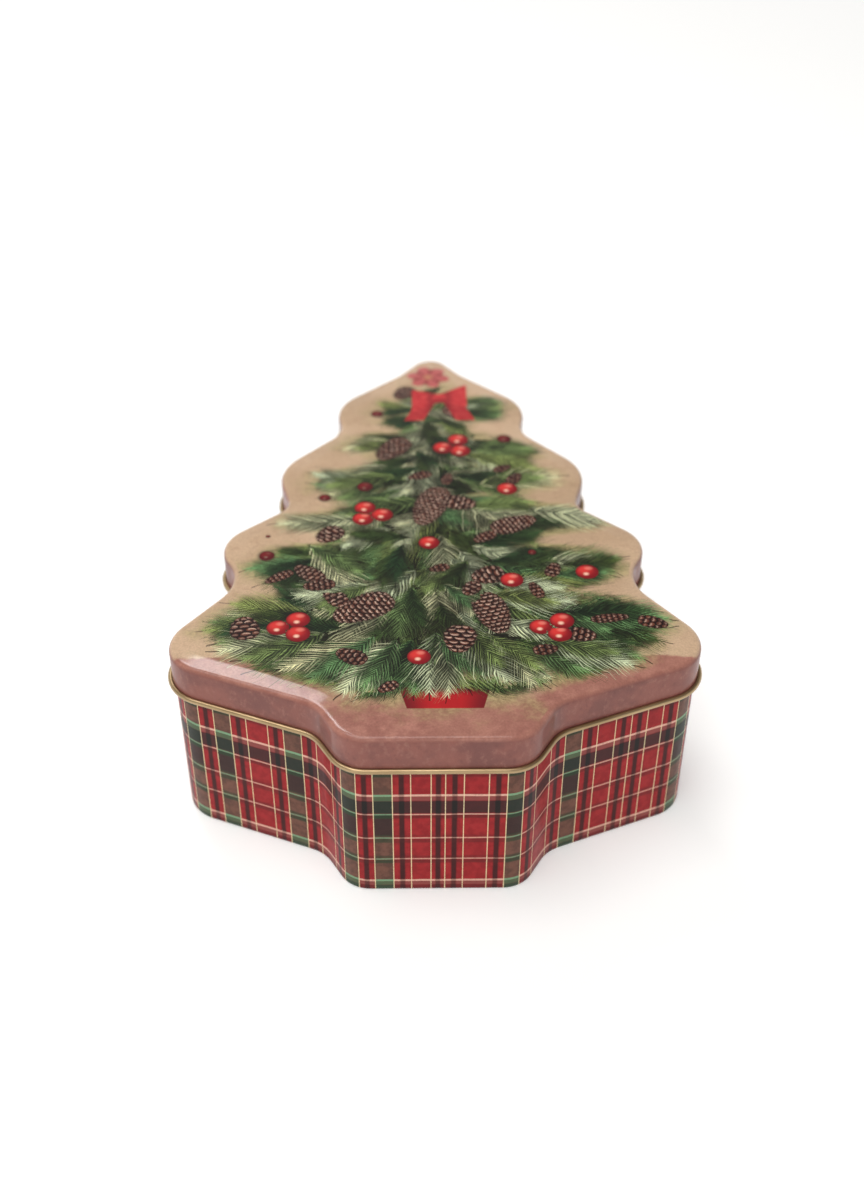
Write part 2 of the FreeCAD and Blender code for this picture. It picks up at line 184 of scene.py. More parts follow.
class G:
    """A node tree under construction. Nodes are made in the order they are
    needed, which keeps the big materials within the shader stack."""

    def __init__(self, tree):
        self.t = tree

    def node(self, kind, **props):
        n = self.t.nodes.new(kind)
        for k, v in props.items():
            setattr(n, k, v)
        return n

    def put(self, socket, value):
        if isinstance(value, V):
            self.t.links.new(value.s, socket)
        elif isinstance(value, (tuple, list)):
            socket.default_value = value
        else:
            socket.default_value = value

    def m(self, op, a, b=None, c=None, clamp=False):
        n = self.node("ShaderNodeMath", operation=op, use_clamp=clamp)
        for i, x in enumerate((a, b, c)):
            if x is not None:
                self.put(n.inputs[i], x)
        return V(self, n.outputs[0])

    def mixf(self, t, a, b):
        return t * (b - a) + a

    def ramp(self, x, lo, hi, a=0.0, b=1.0, kind="SMOOTHSTEP"):
        """a at lo, b at hi, smooth between and flat outside."""
        if kind == "LINEAR":  # a clamped linear Map Range adds a node out of order
            t = self.m("MULTIPLY_ADD", x, 1.0 / (hi - lo), -lo / (hi - lo)).max(0.0).min(1.0)
            return self.m("MULTIPLY_ADD", t, b - a, a)
        n = self.node("ShaderNodeMapRange", interpolation_type=kind, clamp=False)
        self.put(n.inputs["Value"], x)
        self.put(n.inputs["From Min"], lo)
        self.put(n.inputs["From Max"], hi)
        self.put(n.inputs["To Min"], a)
        self.put(n.inputs["To Max"], b)
        return V(self, n.outputs["Result"])

    def inside(self, x, lo, hi, soft):
        return self.ramp(x, lo - soft, lo + soft) * self.ramp(x, hi - soft, hi + soft, 1.0, 0.0)

    def mix(self, f, a, b, mode="MIX"):
        n = self.node("ShaderNodeMix", data_type="RGBA", blend_type=mode, clamp_factor=True)
        self.put(n.inputs[0], f)
        self.put(n.inputs[6], a)
        self.put(n.inputs[7], b)
        return V(self, n.outputs[2])

    def attr(self, name):
        n = self.node("ShaderNodeAttribute", attribute_name=name, attribute_type="GEOMETRY")
        return n

    def split(self, v):
        n = self.node("ShaderNodeSeparateXYZ")
        self.put(n.inputs[0], v)
        return [V(self, q) for q in n.outputs]

    def join(self, x, y=0.0, z=0.0):
        n = self.node("ShaderNodeCombineXYZ")
        for i, q in enumerate((x, y, z)):
            self.put(n.inputs[i], q)
        return V(self, n.outputs[0])

    def white(self, x, y=0.0, z=0.0):
        """Three random numbers, 0 to 1, for each (x, y, z)."""
        at = self.join(x, y, z)
        n = self.node("ShaderNodeTexWhiteNoise", noise_dimensions="3D")
        self.put(n.inputs["Vector"], at)
        c = self.node("ShaderNodeSeparateColor", mode="RGB")
        self.t.links.new(n.outputs["Color"], c.inputs[0])
        return [V(self, q) for q in c.outputs]

    def noise(self, vec, scale, detail=2.0, rough=0.5, distort=0.0):
        n = self.node("ShaderNodeTexNoise", noise_dimensions="3D")
        self.put(n.inputs["Vector"], vec)
        n.inputs["Scale"].default_value = scale
        n.inputs["Detail"].default_value = detail
        n.inputs["Roughness"].default_value = rough
        n.inputs["Distortion"].default_value = distort
        return V(self, n.outputs[0])

    def scaled(self, colour, k):
        """A colour times a number."""
        n = self.node("ShaderNodeHueSaturation")
        self.put(n.inputs["Color"], colour)
        self.put(n.inputs["Value"], k)
        return V(self, n.outputs[0])


def material(name):
    mat = bpy.data.materials.new(name)
    mat.use_nodes = True
    t = mat.node_tree
    t.nodes.clear()
    g = G(t)
    out = g.node("ShaderNodeOutputMaterial")
    bsdf = g.node("ShaderNodeBsdfPrincipled")
    t.links.new(bsdf.outputs[0], out.inputs[0])
    return mat, g, bsdf


def bump(g, bsdf, height, distance, strength=1.0):
    n = g.node("ShaderNodeBump")
    n.inputs["Strength"].default_value = strength
    n.inputs["Distance"].default_value = distance
    g.put(n.inputs["Height"], height)
    g.t.links.new(n.outputs[0], bsdf.inputs["Normal"])


def objpos(g):
    """Object position in millimetres, as a vector and its three parts."""
    tc = g.node("ShaderNodeTexCoord")
    n = g.node("ShaderNodeVectorMath", operation="SCALE")
    g.t.links.new(tc.outputs["Object"], n.inputs[0])
    n.inputs["Scale"].default_value = 1000.0
    v = V(g, n.outputs[0])
    return v, g.split(v)


# ----------------------------------------------------------------- mesh tools
def make_object(name, verts, faces, mats, face_mat, smooth_angle=32.0):
    mesh = bpy.data.meshes.new(name)
    mesh.from_pydata([tuple(v) for v in verts], [], [tuple(f) for f in faces])
    for mt in mats:
        mesh.materials.append(mt)
    mesh.polygons.foreach_set("material_index", np.array(face_mat, np.int32))
    mesh.polygons.foreach_set("use_smooth", np.ones(len(mesh.polygons), bool))
    mesh.update()
    mesh.set_sharp_from_angle(angle=math.radians(smooth_angle))
    obj = bpy.data.objects.new(name, mesh)
    bpy.context.scene.collection.objects.link(obj)
    return obj


def sweep(name, pts, section, mats, shift=None, lift=None):
    """A closed ring. section is a closed loop of (outward, z, material) in mm,
    clockwise as seen with outward to the right, so that faces point outwards;
    the material is for the strip from that point to the next. shift can move the
    points outwards and lift can raise them, each by an amount for every ring."""
    pos, nor = pts[0], pts[1]
    n, m = len(pos), len(section)
    verts = np.zeros((n, m, 3))
    for j, (o, z, _) in enumerate(section):
        off = np.full(n, float(o))
        if shift is not None:
            off = off + shift(j, o, z)
        verts[:, j, :2] = pos + nor * off[:, None]
        verts[:, j, 2] = z
        if lift is not None:
            verts[:, j, 2] += lift(j, o, z)
    faces, fm = [], []
    for i in range(n):
        i2 = (i + 1) % n
        for j in range(m):
            j2 = (j + 1) % m
            faces.append((i * m + j, i2 * m + j, i2 * m + j2, i * m + j2))
            fm.append(section[j][2])
    obj = make_object(name, verts.reshape(-1, 3) * MM, faces, mats, fm)
    return obj, n, m


def polar(c, r, degs):
    return [(c[0] + r * math.cos(math.radians(d)), c[1] + r * math.sin(math.radians(d))) for d in degs]


def loop_attr(mesh, name, values):
    a = mesh.attributes.new(name, "FLOAT_VECTOR", "CORNER")
    a.data.foreach_set("vector", np.ascontiguousarray(values, np.float32).ravel())


def face_centres(mesh):
    c = np.zeros(len(mesh.polygons) * 3, np.float32)
    mesh.polygons.foreach_get("center", c)
    return c.reshape(-1, 3).astype(float) / MM


def loop_points(mesh):
    """Plan position in mm of every face corner, and the face it belongs to."""
    co = np.zeros(len(mesh.vertices) * 3, np.float32)
    mesh.vertices.foreach_get("co", co)
    vi = np.zeros(len(mesh.loops), np.int32)
    mesh.loops.foreach_get("vertex_index", vi)
    tot = np.zeros(len(mesh.polygons), np.int32)
    mesh.polygons.foreach_get("loop_total", tot)
    return co.reshape(-1, 3)[vi].astype(float) / MM, np.repeat(np.arange(len(tot)), tot)


# ---------------------------------------------------------------------- plaid
LINES = [-94.4, -88.4, -81.8, -75.6, -67.3, -61.3, -54.5, -48.5, -39.5, -33.3,
         -27.3, -21.5, -15.0, -8.8, -2.0, 2.8, 9.0, 17.3, 23.5, 29.3, 35.5, 45.8,
         52.3, 58.8, 64.8, 71.8, 78.1, 84.4, 90.6]
BROWN, CHECK, RED = 0.0, 1.0, 2.0
KINDS = [CHECK, BROWN, CHECK, RED, CHECK, BROWN, CHECK, RED, CHECK, BROWN, CHECK,
         BROWN, CHECK, RED, CHECK, CHECK, RED, CHECK, BROWN, CHECK, RED, CHECK,
         BROWN, CHECK, RED, CHECK, CHECK, RED]
WIDE = {BROWN: 6.5, CHECK: 6.2, RED: 8.3}
SETT = [BROWN, CHECK, RED, CHECK, BROWN, CHECK, BROWN, CHECK, RED, CHECK, CHECK, RED, CHECK]


def bands(total):
    out = [(LINES[i], LINES[i + 1], KINDS[i]) for i in range(len(KINDS))]
    k, at = 0, LINES[-1]
    right = [CHECK] + SETT
    while at < total / 2 - 3.0:
        kind = right[k % len(right)]
        out.append((at, min(total / 2, at + WIDE[kind]), kind))
        at += WIDE[kind]
        k += 1
    k, at = 0, LINES[0]
    while at > -total / 2 + 3.0:
        kind = SETT[k % len(SETT)]
        out.insert(0, (max(-total / 2, at - WIDE[kind]), at, kind))
        at -= WIDE[kind]
        k += 1
    a, b, kind = out[0]
    out[0] = (-total / 2, b, kind)
    a, b, kind = out[-1]
    out[-1] = (a, total / 2, kind)
    return out


def plaid_material():
    mat, g, bsdf = material("wall_plaid")
    pos, (x, y, z) = objpos(g)
    bs, be, kind = g.split(V(g, g.attr("band").outputs["Vector"]))
    near = bs.min(be)
    mid = (bs - be).abs() * 0.5
    is_check = g.inside(kind, 0.9, 1.1, 0.05)
    is_brown = kind.below(0.5)
    # the print is a little uneven, as ink on coated tin is
    mottle = g.noise(pos, 0.35, 3.0, 0.6)
    grain = g.noise(pos, 5.0, 2.0, 0.6)
    warp = g.noise(pos, 0.12, 1.0, 0.5) - 0.5
    zz = z + warp * 0.35
    red = g.mix(g.ramp(mottle, 0.35, 0.65), lin((162, 34, 37)), lin((142, 25, 30)))
    brown = g.mix(g.ramp(mottle, 0.35, 0.65), lin((116, 76, 62)), lin((92, 62, 51)))
    base = g.mix(is_brown, red, brown)
    # black stripe in the middle of each checked band, softer at its edges
    stripe = is_check * g.ramp(mid, 0.55, 1.25, 1.0, 0.0)
    base = g.mix(stripe * 0.9, base, lin((44, 16, 17)))
    # across: a dark band under the top line, and thin shadows by the others
    dark = g.inside(zz, 38.6, 44.6, 0.4)
    base = g.mix(dark * is_brown * 0.95, base, lin((30, 42, 34)))
    base = g.mix(dark * (1.0 - is_brown) * g.mixf(stripe, 0.9, 0.97), base, g.mix(stripe, lin((50, 29, 29)), lin((26, 20, 19))))
    lower = g.inside(zz, 27.6, 38.2, 0.5) * is_brown
    base = g.mix(lower * 0.92, base, lin((52, 32, 31)))
    for zc, w, k in ((37.1, 0.9, 0.95), (25.2, 1.0, 0.75), (14.8, 0.9, 0.85), (27.6, 0.5, 0.6), (17.1, 0.6, 0.7), (57.4, 1.6, 0.85)):
        under = g.inside(zz, zc - w, zc + w, 0.45)
        base = g.mix(under * is_brown * k, base, lin((42, 58, 38)))
        base = g.mix(under * (1.0 - is_brown) * k * 0.62, base, lin((72, 24, 22)))
    for z0, z1 in ((44.7, 46.8), (2.7, 4.6)):
        soft = g.inside(zz, z0, z1, 0.35) * (1.0 - stripe * 0.6)
        base = g.mix(soft * 0.72, base, g.mix(is_brown, lin((136, 78, 72)), lin((70, 104, 72))))
    foot = g.ramp(zz, 2.2, 3.0, 1.0, 0.0)
    base = g.mix(foot * is_brown * 0.9, base, lin((40, 68, 48)))
    base = g.mix(foot * (1.0 - is_brown) * 0.6, base, lin((66, 26, 26)))
    # pale lines across: green over the brown, pink over the red, lost in the black
    wob = g.noise(pos, 1.4, 1.0, 0.5)
    line = None
    for zc, w, k in ((47.2, 0.34, 0.95), (38.1, 0.15, 0.75), (26.6, 0.15, 0.75), (16.1, 0.15, 0.68), (5.0, 0.32, 0.95)):
        one = g.ramp((zz - zc).abs(), w, w + 0.26, k, 0.0)
        line = one if line is None else line.max(one)
    line = line * g.ramp(wob, 0.3, 0.5, 0.72, 1.0) * (1.0 - stripe * 0.5)
    across = g.mix(is_brown, lin((226, 178, 158)), lin((126, 166, 128)))
    base = g.mix(line, base, across)
    # pale lines upwards, a little broken
    up = g.ramp(near, 0.06, 0.24, 1.0, 0.0)
    up = up * g.ramp(wob, 0.34, 0.46, 0.72, 1.0)
    base = g.mix(up * 0.95, base, lin((238, 218, 172)))
    # fine tooth of the print
    base = g.scaled(base, g.ramp(grain, 0.25, 0.75, 0.93, 1.07, "LINEAR"))
    g.put(bsdf.inputs["Base Color"], base)
    rough = g.ramp(mottle, 0.3, 0.7, 0.42, 0.5, "LINEAR") + g.ramp(grain, 0.2, 0.8, -0.02, 0.02, "LINEAR")
    g.put(bsdf.inputs["Roughness"], rough)
    bsdf.inputs["Specular IOR Level"].default_value = 0.08
    bsdf.inputs["Coat Weight"].default_value = 0.22
    bsdf.inputs["Coat Roughness"].default_value = 0.12
    dents = g.noise(pos, 0.035, 2.0, 0.5)
    tooth = g.noise(pos, 3.2, 2.0, 0.6)
    bump(g, bsdf, dents * 0.9 + tooth * 0.012, 0.0006, 0.6)
    return mat


def lacquer_material(name, tone=(1.0, 1.0, 1.0)):
    """Gold-lacquered tinplate: the inner face of the sheet."""
    mat, g, bsdf = material(name)
    pos, (x, y, z) = objpos(g)
    grain = g.noise(g.join(x * 6.0, y * 0.8, z * 6.0), 1.0, 3.0, 0.6)
    blotch = g.noise(pos, 0.05, 3.0, 0.55)
    scuff = g.noise(g.join(x * 0.6, y * 5.0, z * 2.0), 0.7, 4.0, 0.7)
    a, b = lin((186, 160, 120)), lin((166, 140, 102))
    base = g.mix(g.ramp(blotch, 0.3, 0.7), [p * q for p, q in zip(a, tone + (1.0,))],
                 [p * q for p, q in zip(b, tone + (1.0,))])
    base = g.mix(g.ramp(scuff, 0.62, 0.78) * 0.25, base, lin((210, 196, 160)))
    g.put(bsdf.inputs["Base Color"], base)
    bsdf.inputs["Metallic"].default_value = 0.9
    g.put(bsdf.inputs["Roughness"], g.ramp(grain, 0.25, 0.75, 0.3, 0.42, "LINEAR") + g.ramp(scuff, 0.55, 0.8, 0.0, 0.12))
    bsdf.inputs["Coat Weight"].default_value = 0.35
    bsdf.inputs["Coat Roughness"].default_value = 0.2
    bump(g, bsdf, grain * 0.02 + blotch * 0.5, 0.0005, 0.35)
    return mat


# ----------------------------------------------------- background of the print
def paper(g, pos, x, y):
    """The plain part of the lid's print: kraft paper above, brown ground below."""
    cloud = g.noise(pos, 0.022, 3.0, 0.55)
    mottle = g.noise(pos, 0.16, 4.0, 0.62)
    fibre = g.noise(pos, 1.3, 3.0, 0.7)
    kraft = g.mix(g.ramp(cloud, 0.36, 0.64), lin((184, 154, 124)), lin((199, 168, 138)))
    kraft = g.mix(g.ramp(mottle, 0.5, 0.72) * 0.32, kraft, lin((160, 128, 100)))
    ground = g.mix(g.ramp(mottle, 0.34, 0.62), lin((172, 119, 104)), lin((150, 99, 87)))
    ground = g.mix(g.ramp(cloud, 0.45, 0.62) * 0.4, ground, lin((164, 114, 98)))
    side = g.ramp(x.abs(), 25.0, 62.0)
    edge = side * 20.0 - 104.0 + (mottle - 0.5) * 3.0
    soft = g.ramp(side, 0.0, 1.0, 7.0, 0.7, "LINEAR")
    down = g.ramp((edge - y) / soft, -1.0, 1.0)
    colour = g.mix(down, kraft, ground)
    colour = g.scaled(colour, g.ramp(fibre, 0.28, 0.72, 0.84, 1.16, "LINEAR"))
    return colour, down, mottle, fibre


def varnish(g, bsdf, pos, mottle, fibre, rough=(0.42, 0.5), coat=0.5):
    """Satin varnish over print, with the sheet's faint waviness and a fine tooth."""
    r = g.ramp(mottle, 0.3, 0.7, rough[0], rough[1], "LINEAR") + g.ramp(fibre, 0.3, 0.7, -0.015, 0.02, "LINEAR")
    g.put(bsdf.inputs["Roughness"], r)
    bsdf.inputs["Specular IOR Level"].default_value = 0.08
    bsdf.inputs["Coat Weight"].default_value = coat
    bsdf.inputs["Coat Roughness"].default_value = 0.1
    dents = g.noise(pos, 0.03, 1.0, 0.5)
    bump(g, bsdf, dents * 1.0 + fibre * 0.02, 0.0006, 0.4)


def skirt_material():
    mat, g, bsdf = material("lid_skirt")
    pos, (x, y, z) = objpos(g)
    top, down, _, _ = paper(g, pos, x, y)
    cloud = g.noise(pos, 0.06, 3.0, 0.6)
    mottle = g.noise(g.join(x, y, z * 0.7), 0.42, 4.0, 0.68)
    fibre = g.noise(pos, 3.6, 2.0, 0.6)
    brown = g.mix(g.ramp(cloud, 0.34, 0.66), lin((142, 88, 78)), lin((122, 76, 70)))
    brown = g.mix(g.ramp(mottle, 0.5, 0.74) * 0.55, brown, lin((160, 112, 98)))
    brown = g.mix(g.ramp(mottle, 0.46, 0.28) * 0.35, brown, lin((104, 62, 58)))
    brown = g.scaled(brown, g.ramp(fibre, 0.28, 0.72, 0.93, 1.07, "LINEAR"))
    turn = g.ramp(z + (cloud - 0.5) * 1.0, 72.0, 73.5)
    base = g.mix(turn, brown, top)
    g.put(bsdf.inputs["Base Color"], base)
    varnish(g, bsdf, pos, mottle, fibre, coat=0.44)
    return mat


# ------------------------------------------------------------------- the wall
def wall_piece():
    fine = outline_points(0.2)
    fp = fine[0] + fine[1] * -0.9
    seg = np.linalg.norm(np.roll(fp, -1, 0) - fp, axis=1)
    run = np.concatenate([[0.0], np.cumsum(seg)[:-1]])
    around = float(seg.sum())
    mid = float(np.interp(0.0, -fine[2], run))  # the run at the trunk's middle
    s_wall = mid - run                           # + to +X, falling along the ring
    strips = bands(around)
    edges = sorted({a for a, _, _ in strips} | {b for _, b, _ in strips})
    edges = [e for e in edges if abs(e) < around / 2 - 0.01]
    to_line = lambda q: float(np.interp(-q, -s_wall, fine[2]))
    total = fine[3]
    seam = [total / 2 - q for q in (0.15, 1.1, 2.0, 2.1)] + [-total / 2 + q for q in (0.15, 1.1, 2.0, 2.1)]
    pts = outline_points(1.5, extra=[to_line(e) for e in edges] + seam)
    s0 = pts[2]
    ring_s = np.interp(-s0, -fine[2], s_wall)
    from_tip = total / 2 - np.abs(s0)

    P, C = 0, 1
    lip = 72.7 - CROWN  # clear of the lid's sloping margin
    top = 71.4 - CROWN
    sec = [(o, z, C) for o, z in polar((-1.8, lip), 0.9, [290, 265, 240, 215, 190, 165, 140, 115])]
    sec += [(o, z, P) for o, z in polar((-1.8, lip), 0.9, [90, 68, 45, 22, 0])]
    sec += [(-0.9, z, P) for z in (top, 60.0, 48.0, 36.0, 24.0, 12.0, 5.0)]
    sec += [(o, z, P) for o, z in polar((-1.9, 1.0), 1.0, [0, -18, -36, -54, -72, -90])]
    sec += [(o, z, P if d > 255 else C) for d, (o, z) in zip([270, 252, 234, 216, 198, 180], polar((-3.5, 1.0), 1.0, [270, 252, 234, 216, 198, 180]))]
    sec += [(-4.5, 1.7, C), (-4.2, 1.7, C)]
    sec += [(o, z, C) for o, z in polar((-3.5, 1.0), 0.7, [180, 202, 225, 248, 270])]
    sec += [(o, z, C) for o, z in polar((-1.9, 1.0), 0.7, [270, 292, 315, 338, 360])]
    sec += [(-1.2, z, C) for z in (4.7, 5.0, 38.0, top, top + 0.3)]
    sec += [(o, z, C) for o, z in polar((-1.8, lip), 0.6, [0, 22, 45, 68, 90, 115, 140, 165, 190, 215, 240, 265, 290])]

    lock = np.clip((2.1 - from_tip) / 0.1, 0, 1)
    groove = np.clip((0.15 - from_tip) / 0.15, 0, 1)  # the fold line outside

    def shift(j, o, z):
        if abs(o + 1.2) < 1e-6 and 4.9 < z < top + 0.1:
            return -0.9 * lock
        if abs(o + 0.9) < 1e-6 and 4.9 < z < top + 0.1:
            return -0.12 * groove
        return 0.0

    obj, n, m = sweep("wall_shell", pts, sec, [plaid_material(), lacquer_material("wall_inside")], shift)
    # band attribute on every face corner
    starts = np.array([a for a, _, _ in strips])
    ends = np.array([b for _, b, _ in strips])
    kinds = np.array([k for _, _, k in strips])
    vals = np.zeros((n, m, 4, 3))
    for i in range(n):
        a, b = ring_s[i], ring_s[(i + 1) % n]
        if i == n - 1:
            b = -around / 2
        c = (a + b) / 2
        k = int(np.clip(np.searchsorted(starts, c, side="right") - 1, 0, len(starts) - 1))
        va = (a - starts[k], ends[k] - a, kinds[k])
        vb = (b - starts[k], ends[k] - b, kinds[k])
        vals[i, :, 0] = va
        vals[i, :, 1] = vb
        vals[i, :, 2] = vb
        vals[i, :, 3] = va
    loop_attr(obj.data, "band", vals.reshape(-1, 3))
    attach(obj, "tin_body")
    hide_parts("body_wall")
    return obj


# -------------------------------------------------------------------- the lid
def lid_piece(art):
    pts = outline_points(1.5)
    n = len(pts[0])
    A, S, C = 0, 1, 2
    top = [(-MARGIN, 74.0, A), (-7.3, 73.985, A), (-6.6, 73.935, A)]
    slope = (CROWN - 0.065) / (6.6 - 2.0)
    top += [(o, 73.935 - (o + 6.6) * slope, A) for o in (-5.4, -4.2, -3.0)]
    zc = 74.0 - CROWN - 2.0
    sec = top + [(o, z, S) for o, z in polar((-2.0, zc), 2.0, [86, 76, 66, 56, 46, 36, 26, 17, 8, 0])]
    sec += [(0.0, z, S) for z in (70.0, 67.0, 64.0)]
    sec += [(o, z, C) for o, z in polar((0.65, 60.0), 0.65, list(range(180, 481, 20)))]
    sec += [(o, z, C) for o, z in polar((0.65, 60.0), 0.95, list(range(480, 179, -15)))]
    sec += [(-0.3, z, C) for z in (64.0, 68.0)]
    sec += [(o, z, C) for o, z in polar((-2.0, zc), 1.7, [0, 15, 30, 45, 60, 75, 86])]
    sec += [(-4.2, 73.45, C), (-MARGIN, 73.7, C)]
    m = len(sec)
    # round the trunk the margin lies nearly level
    ax = np.abs(pts[0][:, 0])
    t = np.clip((ax - 37.0) / 6.0, 0.0, 1.0)
    trunk = np.where(pts[0][:, 1] < -96.0, 1.0 - t * t * (3.0 - 2.0 * t), 0.0)

    def lift(j, o, z):
        if j < len(top):
            k = (74.0 - z) / CROWN
        elif j >= m - 2:
            k = (73.7 - z) / CROWN
        else:
            k = min(1.0, max(0.0, (z - 64.0) / 7.6)) if o < 0.2 else 0.0
        return trunk * k * CROWN * 0.72

    obj, n, m = sweep("lid_shell", pts, sec, [art, skirt_material(), lacquer_material("lid_inside")], lift=lift)
    # close the panel: one face above and one below, then cut the upper one finely.
    # The strip from the last point of the section back to the first would stand
    # inside the sheet, so it goes.
    bm = bmesh.new()
    bm.from_mesh(obj.data)
    bm.verts.ensure_lookup_table()
    bm.faces.ensure_lookup_table()
    gone = [bm.faces[i * m + m - 1] for i in range(n)]
    bmesh.ops.delete(bm, geom=gone, context="FACES_ONLY")
    bm.verts.ensure_lookup_table()
    upper = bm.faces.new([bm.verts[i * m] for i in range(n)][::-1])
    lower = bm.faces.new([bm.verts[i * m + m - 1] for i in range(n)])
    for f, k in ((upper, A), (lower, C)):
        f.material_index = k
        f.smooth = True
        f.normal_update()
    if upper.normal.z < 0:
        upper.normal_flip()
    if lower.normal.z > 0:
        lower.normal_flip()
    region = [upper]
    cuts = [((c * MM, 0, 0), (1, 0, 0)) for c in np.arange(-93.0, 93.1, 1.5)]
    cuts += [((0, c * MM, 0), (0, 1, 0)) for c in np.arange(-126.0, 126.1, 1.5)]
    for co, no in cuts:
        axis = 0 if no[0] else 1
        hit = []
        for f in region:
            vs = [v.co[axis] for v in f.verts]
            if min(vs) < co[axis] - 1e-6 and max(vs) > co[axis] + 1e-6:
                hit.append(f)
        if not hit:
            continue
        geom = list({v for f in hit for v in f.verts}) + list({e for f in hit for e in f.edges}) + hit
        res = bmesh.ops.bisect_plane(bm, geom=geom, dist=1e-7, plane_co=co, plane_no=no)
        new = [f for f in res["geom"] if isinstance(f, bmesh.types.BMFace)]
        old = set(new) | set(hit)
        region = [f for f in region if f.is_valid and f not in old] + [f for f in old if f.is_valid]
    bm.to_mesh(obj.data)
    bm.free()
    obj.data.update()
    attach(obj, "tin_lid")
    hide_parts("lid")
    return obj


# ------------------------------------------------------------- the lid's print
# A generic fir tree of needle sprays, cones and berries. Each layer of the print
# is an attribute on the panel's face corners that holds the spray's own
# coordinates there; the needles themselves are drawn by the material.
LAYERS = 7
REACH_L = [(-103, 28), (-100, 35), (-96, 45), (-92, 56), (-88, 62), (-84, 70), (-81, 74), (-78, 72), (-74, 79),
           (-70, 82), (-65, 80), (-60, 74), (-55, 70), (-50, 65), (-47, 53), (-45, 53), (-42, 64), (-38, 68),
           (-32, 70), (-28, 64), (-22, 60), (-18, 51), (-16, 33), (-13, 33), (-10, 44), (-7, 58), (-3, 55),
           (2, 52), (5, 36), (8, 33), (12, 38), (16, 42), (22, 46), (28, 48), (32, 44), (35, 25), (38, 18),
           (42, 24), (46, 30), (50, 36), (55, 34), (60, 32), (63, 14), (66, 13), (70, 20), (78, 24), (86, 22),
           (90, 12), (94, 10), (100, 5)]
REACH_R = [(-103, 28), (-100, 34), (-97, 42), (-94, 52), (-92, 60), (-88, 68), (-82, 72), (-76, 76), (-70, 81),
           (-65, 85), (-60, 80), (-54, 70), (-50, 60), (-48, 46), (-45, 48), (-42, 63), (-36, 72), (-30, 69),
           (-24, 64), (-20, 56), (-18, 32), (-15, 32), (-12, 52), (-8, 60), (-3, 68), (2, 62), (6, 56), (9, 42),
           (11, 26), (13, 26), (16, 40), (22, 46), (28, 50), (33, 46), (36, 24), (38, 22), (41, 46), (45, 46),
           (50, 38), (55, 29), (60, 20), (64, 12), (68, 12), (72, 24), (76, 30), (82, 34), (88, 30), (91, 16),
           (94, 9), (100, 5)]
HERO = [  # from, to, tone: the sprays that lie on top
    (-34, -68, -58, -62, 0), (-40, -56, -60, -46, 0), (-56, -66, -82, -68, 1), (-46, -60, -74, -56, 1),
    (-40, -72, -75, -82, 2), (-30, -76, -62, -91, 0), (-22, -74, -50, -95, 2), (-30, -82, -42, -99, 1),
    (-14, -76, -34, -101, 2), (-8, -76, -22, -100, 1), (0, -72, -3, -103, 2), (-4, -78, -11, -103, 1),
    (2, -76, 9, -103, 2), (10, -68, 18, -99, 2), (16, -74, 31, -101, 1), (20, -74, 36, -97, 2),
    (28, -76, 50, -95, 1), (38, -76, 66, -92, 2), (46, -74, 73, -83, 1), (50, -66, 80, -76, 0),
    (46, -60, 84, -62, 1), (50, -56, 74, -51, 2), (20, -50, 50, -57, 2), (34, -58, 62, -70, 1),
    (44, -38, 68, -43, 2), (48, -32, 76, -34, 1), (44, -28, 74, -24, 2), (22, -30, 46, -28, 0),
    (-44, -28, -70, -34, 1), (-44, -24, -62, -18, 0), (-48, -36, -70, -44, 1), (-46, -20, -28, -46, 2),
    (-40, -30, -22, -40, 1), (-24, -44, -50, -52, 2), (-8, -46, -18, -72, 1), (4, -44, 16, -60, 2),
    (-4, -56, -20, -80, 0), (2, -56, 2, -82, 0), (12, -30, -4, -48, 1), (-12, -20, -24, -44, 0),
    (-30, -2, -60, -7, 2), (-28, 2, -54, 3, 1), (-10, -14, -34, -10, 0), (38, 4, 70, -3, 2), (40, 2, 64, 8, 1),
    (26, -8, 60, -12, 1), (14, 6, 46, 9, 2), (16, -18, 44, -14, 0), (-16, 28, -50, 28, 2), (-20, 22, -44, 15, 2),
    (-10, 24, -34, 34, 1), (-6, 34, -26, 26, 0), (20, 22, 51, 28, 2), (22, 26, 48, 35, 1), (10, 28, 34, 18, 1),
    (14, 48, 48, 43, 2), (14, 44, 46, 38, 1), (18, 54, 40, 48, 0), (-14, 54, -37, 52, 2), (-12, 58, -34, 61, 1),
    (-8, 40, -24, 40, 0), (10, 82, 36, 84, 2), (8, 76, 31, 77, 1), (12, 86, 30, 90, 1), (-6, 80, -24, 82, 1),
    (-4, 74, -22, 70, 0), (-2, 70, -2, 54, 0), (4, 72, 14, 58, 1), (-6, 46, 0, 30, 0), (-2, 62, 10, 40, 0)]


def reach(x, y):
    t = REACH_L if x < 0 else REACH_R
    return float(np.interp(y, [q[0] for q in t], [q[1] for q in t]))


def flow(x, y, rng):
    """The way a spray at (x, y) points, as an angle from +X."""
    w = max(reach(x, y), 12.0)
    k = min(1.0, abs(x) / w)
    lean = 12.0 + 78.0 * k ** 0.75             # away from straight down
    if y > 60:
        lean += 34.0 * min(1.0, (y - 60) / 30)
    lean += 10.0 * math.sin(y * 0.12)
    lean += rng.uniform(-24, 24)
    a = -90.0 + (lean if x > 0 else -lean)
    return math.radians(a)


